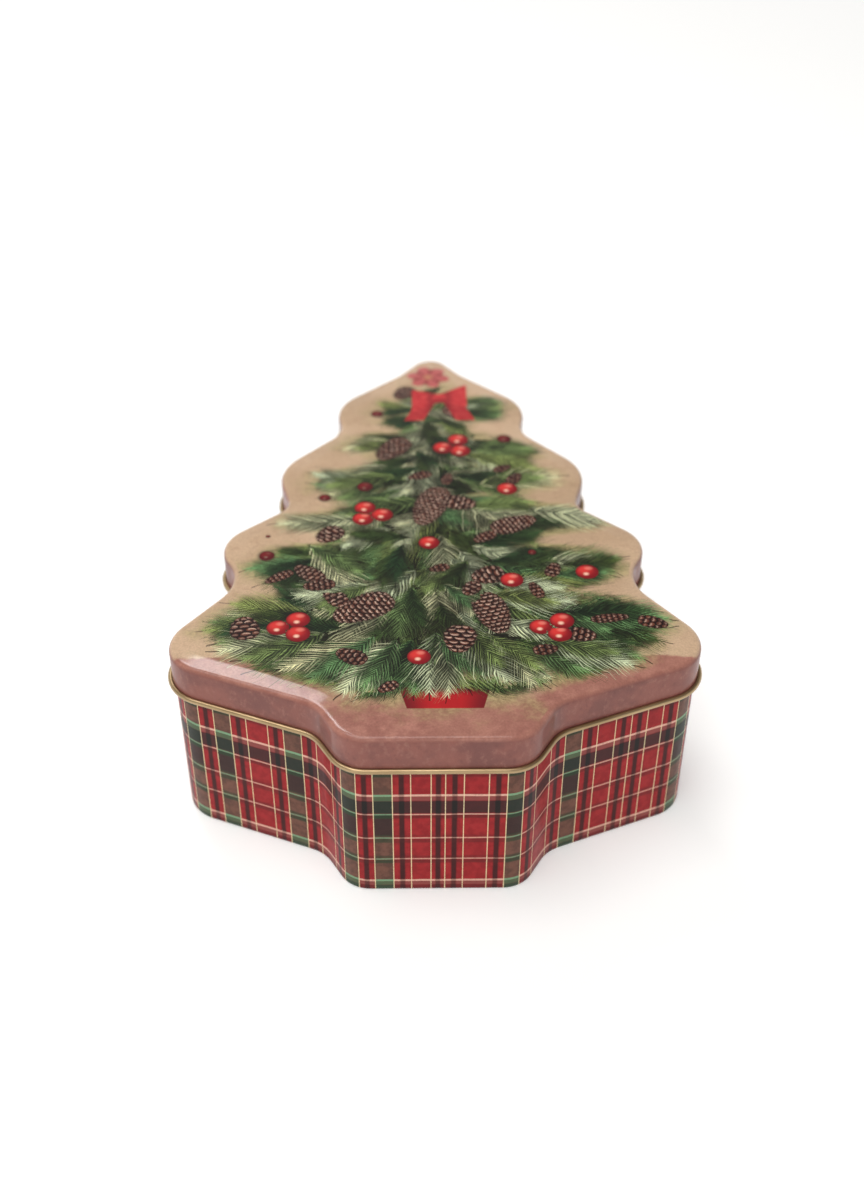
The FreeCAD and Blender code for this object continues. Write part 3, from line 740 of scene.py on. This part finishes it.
def spray_layers(mesh):
    """Plans the sprays in painting order. Each face of the panel keeps the
    uppermost ones over it, so a spray can lie in different slots on its faces."""
    rng = np.random.default_rng(20)
    cen = face_centres(mesh)
    up = np.zeros(len(mesh.polygons) * 3, np.float32)
    mesh.polygons.foreach_get("normal", up)
    flat = (up.reshape(-1, 3)[:, 2] > 0.9) & (cen[:, 2] > 73.0)
    P, face = loop_points(mesh)
    plan = []
    for tone, gap, share in ((0, 8.5, 1.0), (1, 10.0, 0.9), (2, 12.5, 0.75)):
        for gy in np.arange(-104, 102, gap):
            for gx in np.arange(-84, 85, gap):
                x, y = gx + rng.uniform(-0.5, 0.5) * gap, gy + rng.uniform(-0.5, 0.5) * gap
                if abs(x) > reach(x, y) - 5.0 or rng.random() > share:
                    continue
                th = flow(x, y, rng)
                L = rng.uniform(20, 36) * (0.75 if y > 55 else 1.0)
                plan.append((tone * 24.0 - y * 0.25 + rng.uniform(-32, 32), x, y, th, L, rng.uniform(-0.3, 0.3), tone, rng.random()))
    plan.sort()
    loose = len(plan)
    for x0, y0, x1, y1, tone in sorted(HERO, key=lambda q: q[4] + rng.uniform(0, 1.2)):
        for j in range(2):
            dx, dy = x1 - x0, y1 - y0
            turn = rng.uniform(-0.12, 0.12) + (j - 0.5) * 0.5
            th = math.atan2(dy, dx) + turn * (1 if j else 0)
            L = math.hypot(dx, dy) * (1.0 if j == 0 else 0.82)
            d = (math.cos(th), math.sin(th))
            plan.append((0, x0 + d[0] * L / 2, y0 + d[1] * L / 2, th, L, rng.uniform(-0.22, 0.22), max(0, tone - j), rng.random()))
    over = [[] for _ in range(len(cen))]
    shapes = []
    for order, (_, x, y, th, L, bend, tone, seed) in enumerate(plan):
        d = np.array([math.cos(th), math.sin(th)])
        s = np.array([-d[1], d[0]])
        base = np.array([x, y]) - d * L * 0.5  # the spray's middle is on the point
        tip = base + d * L * 1.02 + s * bend * L
        room = 2.5 if order < loose else 6.0
        if tip[1] < -106 or tip[1] > 100:
            continue
        spread = [base + d * L * p + s * (q + bend * p * p) * L for p, q in ((0.4, 0.2), (0.4, -0.2), (0.72, 0.16), (0.72, -0.16), (1.0, 0.0))]
        if any(abs(q[0]) > reach(q[0], q[1]) + room for q in spread):
            continue
        fc = cen[:, :2] - base
        u = fc @ d / L
        v = fc @ s / L - bend * u * np.abs(u)
        hit = np.nonzero(flat & (((u - 0.52) / 0.6) ** 2 + (v / 0.4) ** 2 < 1))[0]
        if len(hit) < 12:
            continue
        for q in hit:
            over[q].append(len(shapes))
        shapes.append((base, d, s, L, bend, tone + 0.02 + 0.96 * seed))
    slot = np.full((LAYERS, len(cen)), -1)
    for q, lst in enumerate(over):
        lst = lst[-LAYERS:]
        for k, i in enumerate(lst):
            slot[LAYERS - len(lst) + k, q] = i
    made = shapes
    for k in range(LAYERS):
        val = np.zeros((len(P), 3))
        val[:, 0] = -9.0
        of = slot[k][face]
        for i in np.unique(of):
            if i < 0:
                continue
            base, d, s, L, bend, code = shapes[i]
            on = of == i
            fp = P[on][:, :2] - base
            u = fp @ d / L
            val[on, 0] = u
            val[on, 1] = fp @ s / L - bend * u * np.abs(u)
            val[on, 2] = code
        loop_attr(mesh, "spray%d" % k, val)
    print("sprays", len(made))
    # how far inside the foliage each point is
    leaf = np.zeros((len(P), 3))
    r = np.array([np.interp(P[:, 1], [q[0] for q in t], [q[1] for q in t]) for t in (REACH_L, REACH_R)])
    w = np.where(P[:, 0] < 0, r[0], r[1])
    d = np.minimum(w - np.abs(P[:, 0]), (P[:, 1] + 106.0))
    d = np.minimum(d, 101.0 - P[:, 1])
    leaf[:, 0] = np.where(flat[face], d, -40.0)
    loop_attr(mesh, "leaf", leaf)


CONES = [  # x, y, length, width, direction in degrees, shade
    (-11.5, 94, 12, 9, 240, .3), (10, 77.5, 12, 9, -60, .5), (-16, 48.5, 19, 12, 235, .4), (-0.8, 7, 27, 14, 252, .9),
    (10.5, 9, 13, 10, -15, .8), (-39.5, -12, 12, 10, 230, .8), (31, -5.5, 19, 11, 25, .7), (19.5, -14, 10, 6, 215, .3),
    (-46, -36.5, 14, 8, 140, .4), (-57, -38.5, 12, 5, 215, .2), (-42, -43.5, 12, 7, 190, .15), (20, -38, 13, 11, 200, .8),
    (13.5, -46, 9, 7, 240, .5), (20.5, -60, 24, 13, 285, .8), (-25.5, -57, 24, 15, 212, .9), (-36, -50.5, 13, 8, 125, .6),
    (-67, -68, 13, 11, 100, .5), (51, -72.5, 11, 8, -12, .4), (8.5, -74.5, 15, 12, 262, .9), (-29, -83.5, 12, 8, 150, .15),
    (-16.2, -99.4, 8, 5, 215, .25), (62, -63.5, 14, 5, 8, .1), (77, -66, 11, 7, -20, .15), (-5, 28.5, 10, 6, 200, .1),
    (33, 26, 9, 6, 60, .1), (6, 26, 8, 5, 80, .05), (28.5, 33.5, 8, 5, 30, .1), (44, -35, 9, 6, 70, .2),
    (37, -47, 10, 5, 110, .15), (2, -33.5, 8, 5, 200, .1), (38, -80.5, 9, 6, 10, .1)]
BERRIES = [  # x, y, radius, shade: 0 bright, 1 dark
    (4.8, 49.3, 4.4, 0), (11.1, 55.4, 4.4, 0), (11.8, 46.9, 4.4, 0), (-26.5, 5.8, 4.3, 0), (-27.1, -1.6, 4.3, 0),
    (-19.8, 1, 4.4, 0), (-1.7, -17.6, 4.1, 0), (29.8, 18.6, 4.2, 0), (28.5, -41, 4.4, 0), (56.5, -36.4, 4.4, 0),
    (-55.3, -67.9, 4.2, 0), (-48.5, -63.5, 4.4, 0), (-48.1, -71.3, 4.5, 0), (37.2, -68.2, 4.2, 0),
    (44.9, -64.9, 4.5, 0), (43.6, -72.1, 4.4, 0), (-5.8, -84, 4.2, 0),
    (30.4, 56, 3.0, 1), (-26.9, 20.6, 3.2, 1), (-42.5, 12.9, 2.4, 1), (-62.5, -25.4, 3.0, 1), 
 (-63, -13, 0.9, 1), (-23, 76.5, 2.6, 1), (37, -24, 1.6, 1)]


def item_layers(mesh):
    cen = face_centres(mesh)
    P, face = loop_points(mesh)
    up = np.zeros(len(mesh.polygons) * 3, np.float32)
    mesh.polygons.foreach_get("normal", up)
    flat = (up.reshape(-1, 3)[:, 2] > 0.9) & (cen[:, 2] > 73.0)
    vals = [np.full((len(P), 3), -9.0) for _ in range(2)]
    taken = [np.zeros(len(cen), bool) for _ in range(2)]
    for i, (x, y, L, W, deg, shade) in enumerate(CONES):
        a = math.radians(deg)
        d, s = np.array([math.cos(a), math.sin(a)]), np.array([-math.sin(a), math.cos(a)])
        fc = cen[:, :2] - (x, y)
        u, v = fc @ d / L + 0.5, fc @ s / L * (0.68 * L / W)
        inside = flat & (u > -0.16) & (u < 1.16) & (np.abs(v) < 0.52)
        k = 0 if not (taken[0] & inside).any() else 1
        inside &= ~taken[k]
        taken[k] |= inside
        on = inside[face]
        fp = P[on][:, :2] - (x, y)
        vals[k][on, 0] = fp @ d / L + 0.5
        vals[k][on, 1] = fp @ s / L * (0.68 * L / W)
        vals[k][on, 2] = math.floor(L / 1.9) + shade * 0.98 + 0.01
    loop_attr(mesh, "cone0", vals[0])
    loop_attr(mesh, "cone1", vals[1])
    # berries: each face takes the nearest one
    best = np.full(len(cen), 1e9)
    pick = np.full(len(cen), -1)
    for i, (x, y, r, dark) in enumerate(BERRIES):
        d = np.hypot(cen[:, 0] - x, cen[:, 1] - y) / r
        hit = flat & (d < best) & (d < 1.9)
        best[hit], pick[hit] = d[hit], i
    val = np.full((len(P), 3), -9.0)
    for i, (x, y, r, dark) in enumerate(BERRIES):
        on = (pick == i)[face]
        val[on, 0] = (P[on, 0] - x) / r
        val[on, 1] = (P[on, 1] - y) / r
        val[on, 2] = dark
    loop_attr(mesh, "berry", val)


def spray_group():
    """One layer of sprays: needles in two combs each side of a stem."""
    tree = bpy.data.node_groups.new("spray", "ShaderNodeTree")
    face = tree.interface
    for name in ("u", "v", "code"):
        face.new_socket(name=name, in_out="INPUT", socket_type="NodeSocketFloat")
    face.new_socket(name="colour", in_out="OUTPUT", socket_type="NodeSocketColor")
    face.new_socket(name="alpha", in_out="OUTPUT", socket_type="NodeSocketFloat")
    g = G(tree)
    inp = g.node("NodeGroupInput")
    out = g.node("NodeGroupOutput")
    u, v, code = [V(g, inp.outputs[k]) for k in range(3)]
    tone = code.floor()
    seed = code.fract()
    on = u.above(-1.0)
    side = v.sign()
    av = v.abs()
    # tones: 0 dark, 1 middle, 2 pale; hue drifts between bluish and yellowish
    hue = (seed * 7.31).fract()
    tip_dark = g.mix(hue, lin((48, 86, 50)), lin((84, 102, 46)))
    tip_mid = g.mix(hue, lin((120, 168, 106)), lin((166, 180, 98)))
    tip_pale = g.mix(hue, lin((228, 240, 196)), lin((250, 244, 188)))
    tip = g.mix(tone.above(0.5), tip_dark, tip_mid)
    pale = tone.above(1.5)
    tip = g.mix(pale, tip, tip_pale)
    root = g.mix(pale, lin((12, 20, 14)), lin((24, 40, 24)))
    phase = side * 0.31 + seed * 17.0
    gain = g.ramp((seed * 5.77).fract(), 0.0, 1.0, 0.5, 1.35, "LINEAR")
    key, key2 = side * 3.7, seed * 91.0
    # soft dark body under the needles
    a0 = u - av * 1.5
    full = g.ramp(a0, -0.05, 0.3, 0.0, 1.0) * g.ramp(a0, 0.5, 0.95, 1.0, 0.0)
    clear = 1.0 - g.ramp(av / (full * 0.25 + 0.01), 0.3, 1.0, 0.92, 0.0) * on
    colour = lin((18, 15, 10))
    for comb, (c0, c1, pitch, reach_v, wide, shade) in enumerate((
            (0.75, 1.35, 0.050, 0.25, 0.21, 0.2),
            (1.25, 1.75, 0.052, 0.29, 0.16, 0.8),
            (1.0, 0.9, 0.063, 0.37, 0.19, 2.7))):
        a = u - av * (u * c1 + c0)
        q = a / pitch + phase
        idx = q.floor()
        f = q - idx - 0.5
        r1, r2, r3 = g.white(idx, key + (comb + 1) * 1.9, key2)
        along = g.ramp(a, -0.04, 0.16, 0.35, 1.0) * g.ramp(a, 0.28, 0.97, 1.0, 0.12, "LINEAR")
        t = av / (along * (r1 * 0.5 + 0.5) * reach_v)
        f = (f + (r3 - 0.5) * (t * 0.55 + 0.2)).abs()
        w = g.ramp(t, 0.15, 1.0, wide, wide * 0.28, "LINEAR")
        mask = g.ramp(f - w, -0.05, 0.06, 1.0, 0.0, "LINEAR")
        mask = mask * t.below(1.0) * a.above(-0.04) * a.below(0.97) * on
        bright = (r2 * r2 * 0.85 + 0.15) * g.ramp(t + a * a * 0.55, 0.0, 0.6, 0.25, 1.0, "LINEAR") * gain * shade
        bright = bright + g.ramp(a, 0.6, 0.95, 0.0, 0.5)
        colour = g.mix(mask, colour, g.mix(bright, root, tip))
        clear = clear * (1.0 - mask)
    g.put(out.inputs[0], colour)
    g.put(out.inputs[1], 1.0 - clear)
    return tree


def cone_group():
    tree = bpy.data.node_groups.new("cone", "ShaderNodeTree")
    face = tree.interface
    for name in ("u", "v", "code"):
        face.new_socket(name=name, in_out="INPUT", socket_type="NodeSocketFloat")
    face.new_socket(name="colour", in_out="OUTPUT", socket_type="NodeSocketColor")
    face.new_socket(name="alpha", in_out="OUTPUT", socket_type="NodeSocketFloat")
    g = G(tree)
    inp = g.node("NodeGroupInput")
    out = g.node("NodeGroupOutput")
    u, v, code = [V(g, inp.outputs[k]) for k in range(3)]
    rows = code.floor()
    shade = code.fract()
    uc = u.max(0.0).min(1.0)
    half = (uc * (1.0 - uc)).max(0.0).pow(0.42) * g.ramp(uc, 0.0, 1.0, 0.72, 0.5, "LINEAR")
    half = half * ((u * rows * 6.283).sin() * 0.035 + 1.0)
    inside = u.above(0.0) * u.below(1.0)
    wide = half + 0.001
    rim = v.abs() / wide
    ring = u * rows
    row = ring.floor()
    ru = ring - row - 0.5
    odd = (row * 0.5).fract()
    around = g.m("ARCSINE", (v / wide).max(-1.0).min(1.0)) * 0.3183
    col = around * (rows * 0.62).max(4.0) + odd
    c = col.floor()
    rv = col - c - 0.5
    r1, r2, r3 = g.white(row, c, rows + shade)
    wob = (r1 - 0.5) * 0.42
    rv2 = rv * rv
    dash = g.ramp((ru + rv2 * 1.4 - 0.05 + wob).abs(), 0.06, 0.17, 1.0, 0.0) * g.ramp((rv + (r3 - 0.5) * 0.25).abs(), 0.24, 0.42, 1.0, 0.0)
    scale = g.ramp(ru * ru + rv2, 0.08, 0.24, 1.0, 0.0)
    base = g.mix(scale, lin((26, 14, 14)), g.mix(r3, lin((64, 34, 28)), lin((112, 62, 46))))
    base = g.mix(dash * (r2 * 0.75 + 0.25) * g.ramp(shade, 0.0, 0.8, 0.4, 1.0, "LINEAR"), base, lin((236, 200, 176)))
    base = g.mix(g.ramp(rim, 0.6, 1.0, 0.0, 0.55), base, lin((34, 18, 18)))
    mask = g.ramp(rim, 0.9, 1.0, 1.0, 0.0) * inside
    um = u - 0.5
    shadow = g.ramp((um * um * 3.2 + v * v * 7.0), 0.5, 1.1, 0.62, 0.0) * u.above(-1.0)
    g.put(out.inputs[0], g.mix(mask, lin((22, 24, 18)), base))
    g.put(out.inputs[1], mask.max(shadow))
    return tree


def use_group(g, tree, vec, under, token, bend=None):
    """Adds one layer over what is there. token is next to nothing, but makes each
    layer wait for the one before, so that they don't all fill the stack at once."""
    parts = g.split(V(g, vec.outputs["Vector"]))
    if token is not None:
        parts = [p + token for p in parts]
    if bend is not None:
        parts[1] = parts[1] + bend
    n = g.node("ShaderNodeGroup", node_tree=tree)
    for k in range(3):
        g.put(n.inputs[k], parts[k])
    alpha = V(g, n.outputs[1])
    return g.mix(alpha, under, V(g, n.outputs[0])), alpha * 1e-7


def art_material():
    mat, g, bsdf = material("lid_art")
    pos, (x, y, z) = objpos(g)
    base, down, mottle, fibre = paper(g, pos, x, y)
    fuzz = g.noise(pos, 0.5, 4.0, 0.65)
    blot = g.noise(pos, 0.11, 2.0, 0.5)
    # diffuse greenish halo, then the dark heart of the tree
    d, _, _ = g.split(V(g, g.attr("leaf").outputs["Vector"]))
    e = d + (fuzz - 0.5) * 12.0 + (blot - 0.5) * 26.0
    base = g.mix(g.ramp(e, -12.0, 8.0, 0.0, 0.72), base, g.mix(g.ramp(fuzz, 0.35, 0.65), lin((120, 120, 72)), lin((182, 166, 116))))
    base = g.mix(g.ramp(e, 13.0, 28.0), base, g.mix(g.ramp(fuzz, 0.4, 0.62), lin((24, 20, 14)), lin((42, 44, 28))))
    # the pot stands under the lowest needles
    half = (y + 106.0) * 0.26 + 14.0
    side = (x - 2.8).abs() / half
    pot = g.ramp(side, 0.97, 1.0, 1.0, 0.0) * g.inside(y, -110.2, -97.4, 0.25)
    red = g.mix(g.ramp(side, 0.2, 1.0), lin((182, 30, 34)), lin((112, 22, 28)))
    red = g.mix(g.ramp(y + (fuzz - 0.5) * 6.0, -104.5, -100.0), red, lin((92, 18, 24)))
    red = g.mix(g.inside(x, 1.0, 7.5, 0.7) * 0.3, red, lin((150, 24, 30)))
    base = g.mix(pot, base, red)
    tree = spray_group()
    token = None
    bend = (blot - 0.5) * 0.1                  # so that the needles aren't dead straight
    for k in range(LAYERS):
        base, token = use_group(g, tree, g.attr("spray%d" % k), base, token, bend)
    heart = g.ramp(x.abs() + (blot - 0.5) * 40.0, 0.0, 34.0, 0.6, 1.0)
    deep = g.ramp(blot, 0.38, 0.58, 0.4, 1.15)
    dull = (1.0 - heart * deep) * g.ramp(d, 2.0, 14.0)
    base = g.mix(dull.max(0.0) * 0.8, base, lin((22, 17, 13)))
    cone = cone_group()
    for k in range(2):
        base, token = use_group(g, cone, g.attr("cone%d" % k), base, token)
    # berries
    bu, bv, dark = [q + token for q in g.split(V(g, g.attr("berry").outputs["Vector"]))]
    def far(a, b, k=1.0):
        return (a * a + b * b * k).sqrt()

    r = far(bu, bv)
    near = bu.above(-8.0)
    base = g.mix(g.ramp(r, 0.9, 1.45, 0.6, 0.0) * near, base, lin((26, 20, 16)))
    lit = far(bu + 0.25, bv - 0.3)
    skin = g.mix(g.ramp(lit, 0.1, 1.1), lin((212, 54, 50)), lin((130, 18, 26)))
    skin = g.mix(g.ramp(r, 0.72, 1.0, 0.0, 0.7), skin, lin((104, 14, 22)))
    glow = far(bu + 0.1, bv + 0.28, 1.3)
    skin = g.mix(g.ramp(glow, 0.06, 0.34, 0.9, 0.0), skin, lin((250, 204, 176)))
    skin = g.mix(g.ramp(far(bu - 0.15, bv - 0.5, 2.0), 0.1, 0.5, 0.5, 0.0), skin, lin((244, 150, 130)))
    skin = g.mix(dark * 0.8, skin, lin((66, 20, 24)))
    base = g.mix(g.ramp(r, 0.92, 1.0, 1.0, 0.0) * near, base, skin)
    # bow: two loops, a knot and two tails
    token = r * 1e-7
    x, y = x + token, y + token
    tx, ty = x - 3.8, y - 89.5
    skew = ty - tx * 0.18
    atx = tx.abs()
    loop = g.ramp((skew.abs() - (atx * 0.5 + 3.6)), -0.4, 0.2, 1.0, 0.0) * g.ramp(atx, 11.6, 12.3, 1.0, 0.0)
    tail = g.ramp(((atx - 4.4 + ty * 0.36).abs() - 4.2), -0.4, 0.2, 1.0, 0.0) * g.inside(ty, -18.5, -3.0, 0.3)
    knot = g.ramp(far(tx, skew), 3.2, 3.7, 1.0, 0.0)
    silk = g.noise(g.join(x * 0.5, y * 1.8, 0.0), 0.5, 3.0, 0.6)
    bow = g.mix(g.ramp(silk, 0.36, 0.64), lin((206, 62, 62)), lin((178, 36, 42)))
    bow = g.mix(g.ramp(atx, 3.0, 7.0, 0.7, 0.0), bow, lin((120, 20, 28)))
    base = g.mix(tail, base, g.scaled(bow, 0.8))
    base = g.mix(loop, base, bow)
    base = g.mix(knot, base, g.mix(g.ramp(skew, -3.0, 3.0), lin((150, 28, 34)), lin((204, 60, 60))))
    # bloom at the tip
    fx, fy = x + 0.9 + knot * 1e-7, y - 108.0 + knot * 1e-7
    fr = far(fx, fy)
    fa = g.m("ARCTAN2", fy, fx)
    petal = (fa * 3.0 + 0.6).cos().abs()
    edge = petal * 3.0 + 6.6
    bloom = g.ramp(fr - edge, -0.5, 0.3, 1.0, 0.0)
    rose = g.mix(g.ramp(petal, 0.1, 0.9), lin((140, 44, 50)), lin((192, 92, 92)))
    rose = g.mix(g.ramp(fr, 0.5, 3.0, 0.8, 0.0), rose, lin((196, 140, 96)))
    rose = g.mix(g.ramp((fr * 1.3 + silk * 3.0).fract(), 0.4, 0.8) * 0.3, rose, lin((126, 30, 40)))
    base = g.mix(bloom * 0.94, base, rose)
    g.put(bsdf.inputs["Base Color"], base)
    varnish(g, bsdf, pos, mottle, fibre)
    return mat


# ----------------------------------------------------------------------- base
def base_piece():
    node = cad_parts["base_panel"]
    node.data.materials.clear()
    node.data.materials.append(lacquer_material("base_lacquer", (0.97, 0.96, 0.94)))


# ---------------------------------------------------------- floor, light, view
def stage_set():
    mesh = bpy.data.meshes.new("floor")
    rings, seg = [0.0, 0.3, 0.8, 1.6, 3.0, 6.0], 64
    verts, faces = [(0.0, 0.0, 0.0)], []
    for r in rings[1:]:
        verts += [(r * math.cos(2 * math.pi * k / seg), r * math.sin(2 * math.pi * k / seg), 0.0) for k in range(seg)]
    faces += [(0, 1 + k, 1 + (k + 1) % seg) for k in range(seg)]
    for q in range(len(rings) - 2):
        a, b = 1 + q * seg, 1 + (q + 1) * seg
        faces += [(a + k, b + k, b + (k + 1) % seg, a + (k + 1) % seg) for k in range(seg)]
    mesh.from_pydata(verts, [], faces)
    floor = bpy.data.objects.new("floor", mesh)
    bpy.context.scene.collection.objects.link(floor)
    mat, g, bsdf = material("floor_paper")
    pos, (x, y, z) = objpos(g)
    fibre = g.noise(pos, 0.8, 3.0, 0.6)
    g.put(bsdf.inputs["Base Color"], g.scaled([0.72, 0.715, 0.7, 1.0], g.ramp(fibre, 0.3, 0.7, 0.99, 1.01, "LINEAR")))
    bsdf.inputs["Roughness"].default_value = 0.8
    bsdf.inputs["Specular IOR Level"].default_value = 0.1
    bsdf.inputs["Emission Color"].default_value = (1.0, 0.995, 0.985, 1.0)
    away = (x * x + y * y).sqrt()
    g.put(bsdf.inputs["Emission Strength"], g.ramp(away, 700.0, 2600.0, GLOW, GLOW + 0.5))
    # seen from below, the floor isn't there
    tree = mat.node_tree
    geo, clear, both = g.node("ShaderNodeNewGeometry"), g.node("ShaderNodeBsdfTransparent"), g.node("ShaderNodeMixShader")
    tree.links.new(geo.outputs["Backfacing"], both.inputs[0])
    tree.links.new(bsdf.outputs[0], both.inputs[1])
    tree.links.new(clear.outputs[0], both.inputs[2])
    tree.links.new(both.outputs[0], next(n for n in tree.nodes if n.type == "OUTPUT_MATERIAL").inputs[0])
    mesh.materials.append(mat)

    world = bpy.data.worlds.new("studio")
    bpy.context.scene.world = world
    world.use_nodes = True
    t = world.node_tree
    t.nodes.clear()
    g = G(t)
    out = g.node("ShaderNodeOutputWorld")
    bg = g.node("ShaderNodeBackground")
    # a white sweep low down, and a dimmer room above it
    tc = g.node("ShaderNodeTexCoord")
    _, _, up = g.split(V(g, tc.outputs["Generated"]))
    g.put(bg.inputs["Color"], g.mix(g.ramp(up, 0.40, 0.58), [1.0, 0.995, 0.985, 1.0], ROOM))
    bg.inputs["Strength"].default_value = WORLD
    t.links.new(bg.outputs[0], out.inputs[0])

    def lamp(name, at, aim, size, power, colour=(1.0, 1.0, 1.0), spread=180.0):
        d = bpy.data.lights.new(name, "AREA")
        d.shape = "RECTANGLE"
        d.size, d.size_y = size
        d.energy = power
        d.color = colour
        d.spread = math.radians(spread)
        o = bpy.data.objects.new(name, d)
        bpy.context.scene.collection.objects.link(o)
        o.location = at
        o.rotation_mode = "QUATERNION"
        o.rotation_quaternion = (Vector(aim) - Vector(at)).to_track_quat("-Z", "Y")

    for row in LAMPS:
        lamp(*row)


WORLD = 0.82
GLOW = 0.4
ROOM = [0.14, 0.14, 0.14, 1.0]
LAMPS = [
    # name, place, aim, size, watts
    ("key", (-0.3691, 0.8105, 1.2188), (-0.0591, -0.0195, 0.0188), (0.348, 0.305), 4.4),
    ("top", (-0.35, -0.2, 1.7), (0.0, 0.0, 0.0), (1.3, 1.0), 20.0),
    ("fill", (-0.5, -1.8, 1.3), (0.0, 0.0, 0.03), (1.6, 1.0), 6.0),
]


def camera():
    d = bpy.data.cameras.new("camera")
    o = bpy.data.objects.new("camera", d)
    bpy.context.scene.collection.objects.link(o)
    h, p, r = math.radians(0.72), math.radians(38.0), math.radians(-0.116)
    F = np.array([math.sin(h) * math.cos(p), math.cos(h) * math.cos(p), -math.sin(p)])
    R = np.array([math.cos(h), -math.sin(h), 0.0])
    D = np.cross(F, R)
    right = math.cos(r) * R + math.sin(r) * D
    down = -math.sin(r) * R + math.cos(r) * D
    m = Matrix.Identity(4)
    for i in range(3):
        m[i][0], m[i][1], m[i][2] = right[i], -down[i], -F[i]
    m.translation = Vector((-0.00615, -0.46531, 0.40008))
    o.matrix_world = m
    d.lens = 44.396
    d.sensor_width = 36.0
    d.sensor_fit = "AUTO"
    d.clip_start, d.clip_end = 0.02, 20.0
    focus = bpy.data.objects.new("focus", None)
    bpy.context.scene.collection.objects.link(focus)
    focus.location = (0.0, -0.105, 0.06)
    d.dof.use_dof = True
    d.dof.focus_object = focus
    d.dof.aperture_fstop = 6.3
    bpy.context.scene.camera = o


wall_piece()
lid = lid_piece(art_material())
spray_layers(lid.data)
item_layers(lid.data)
base_piece()
stage_set()
camera()
vs = bpy.context.scene.view_settings
vs.view_transform = "Standard"
vs.look = "None"
bpy.context.view_layer.update()
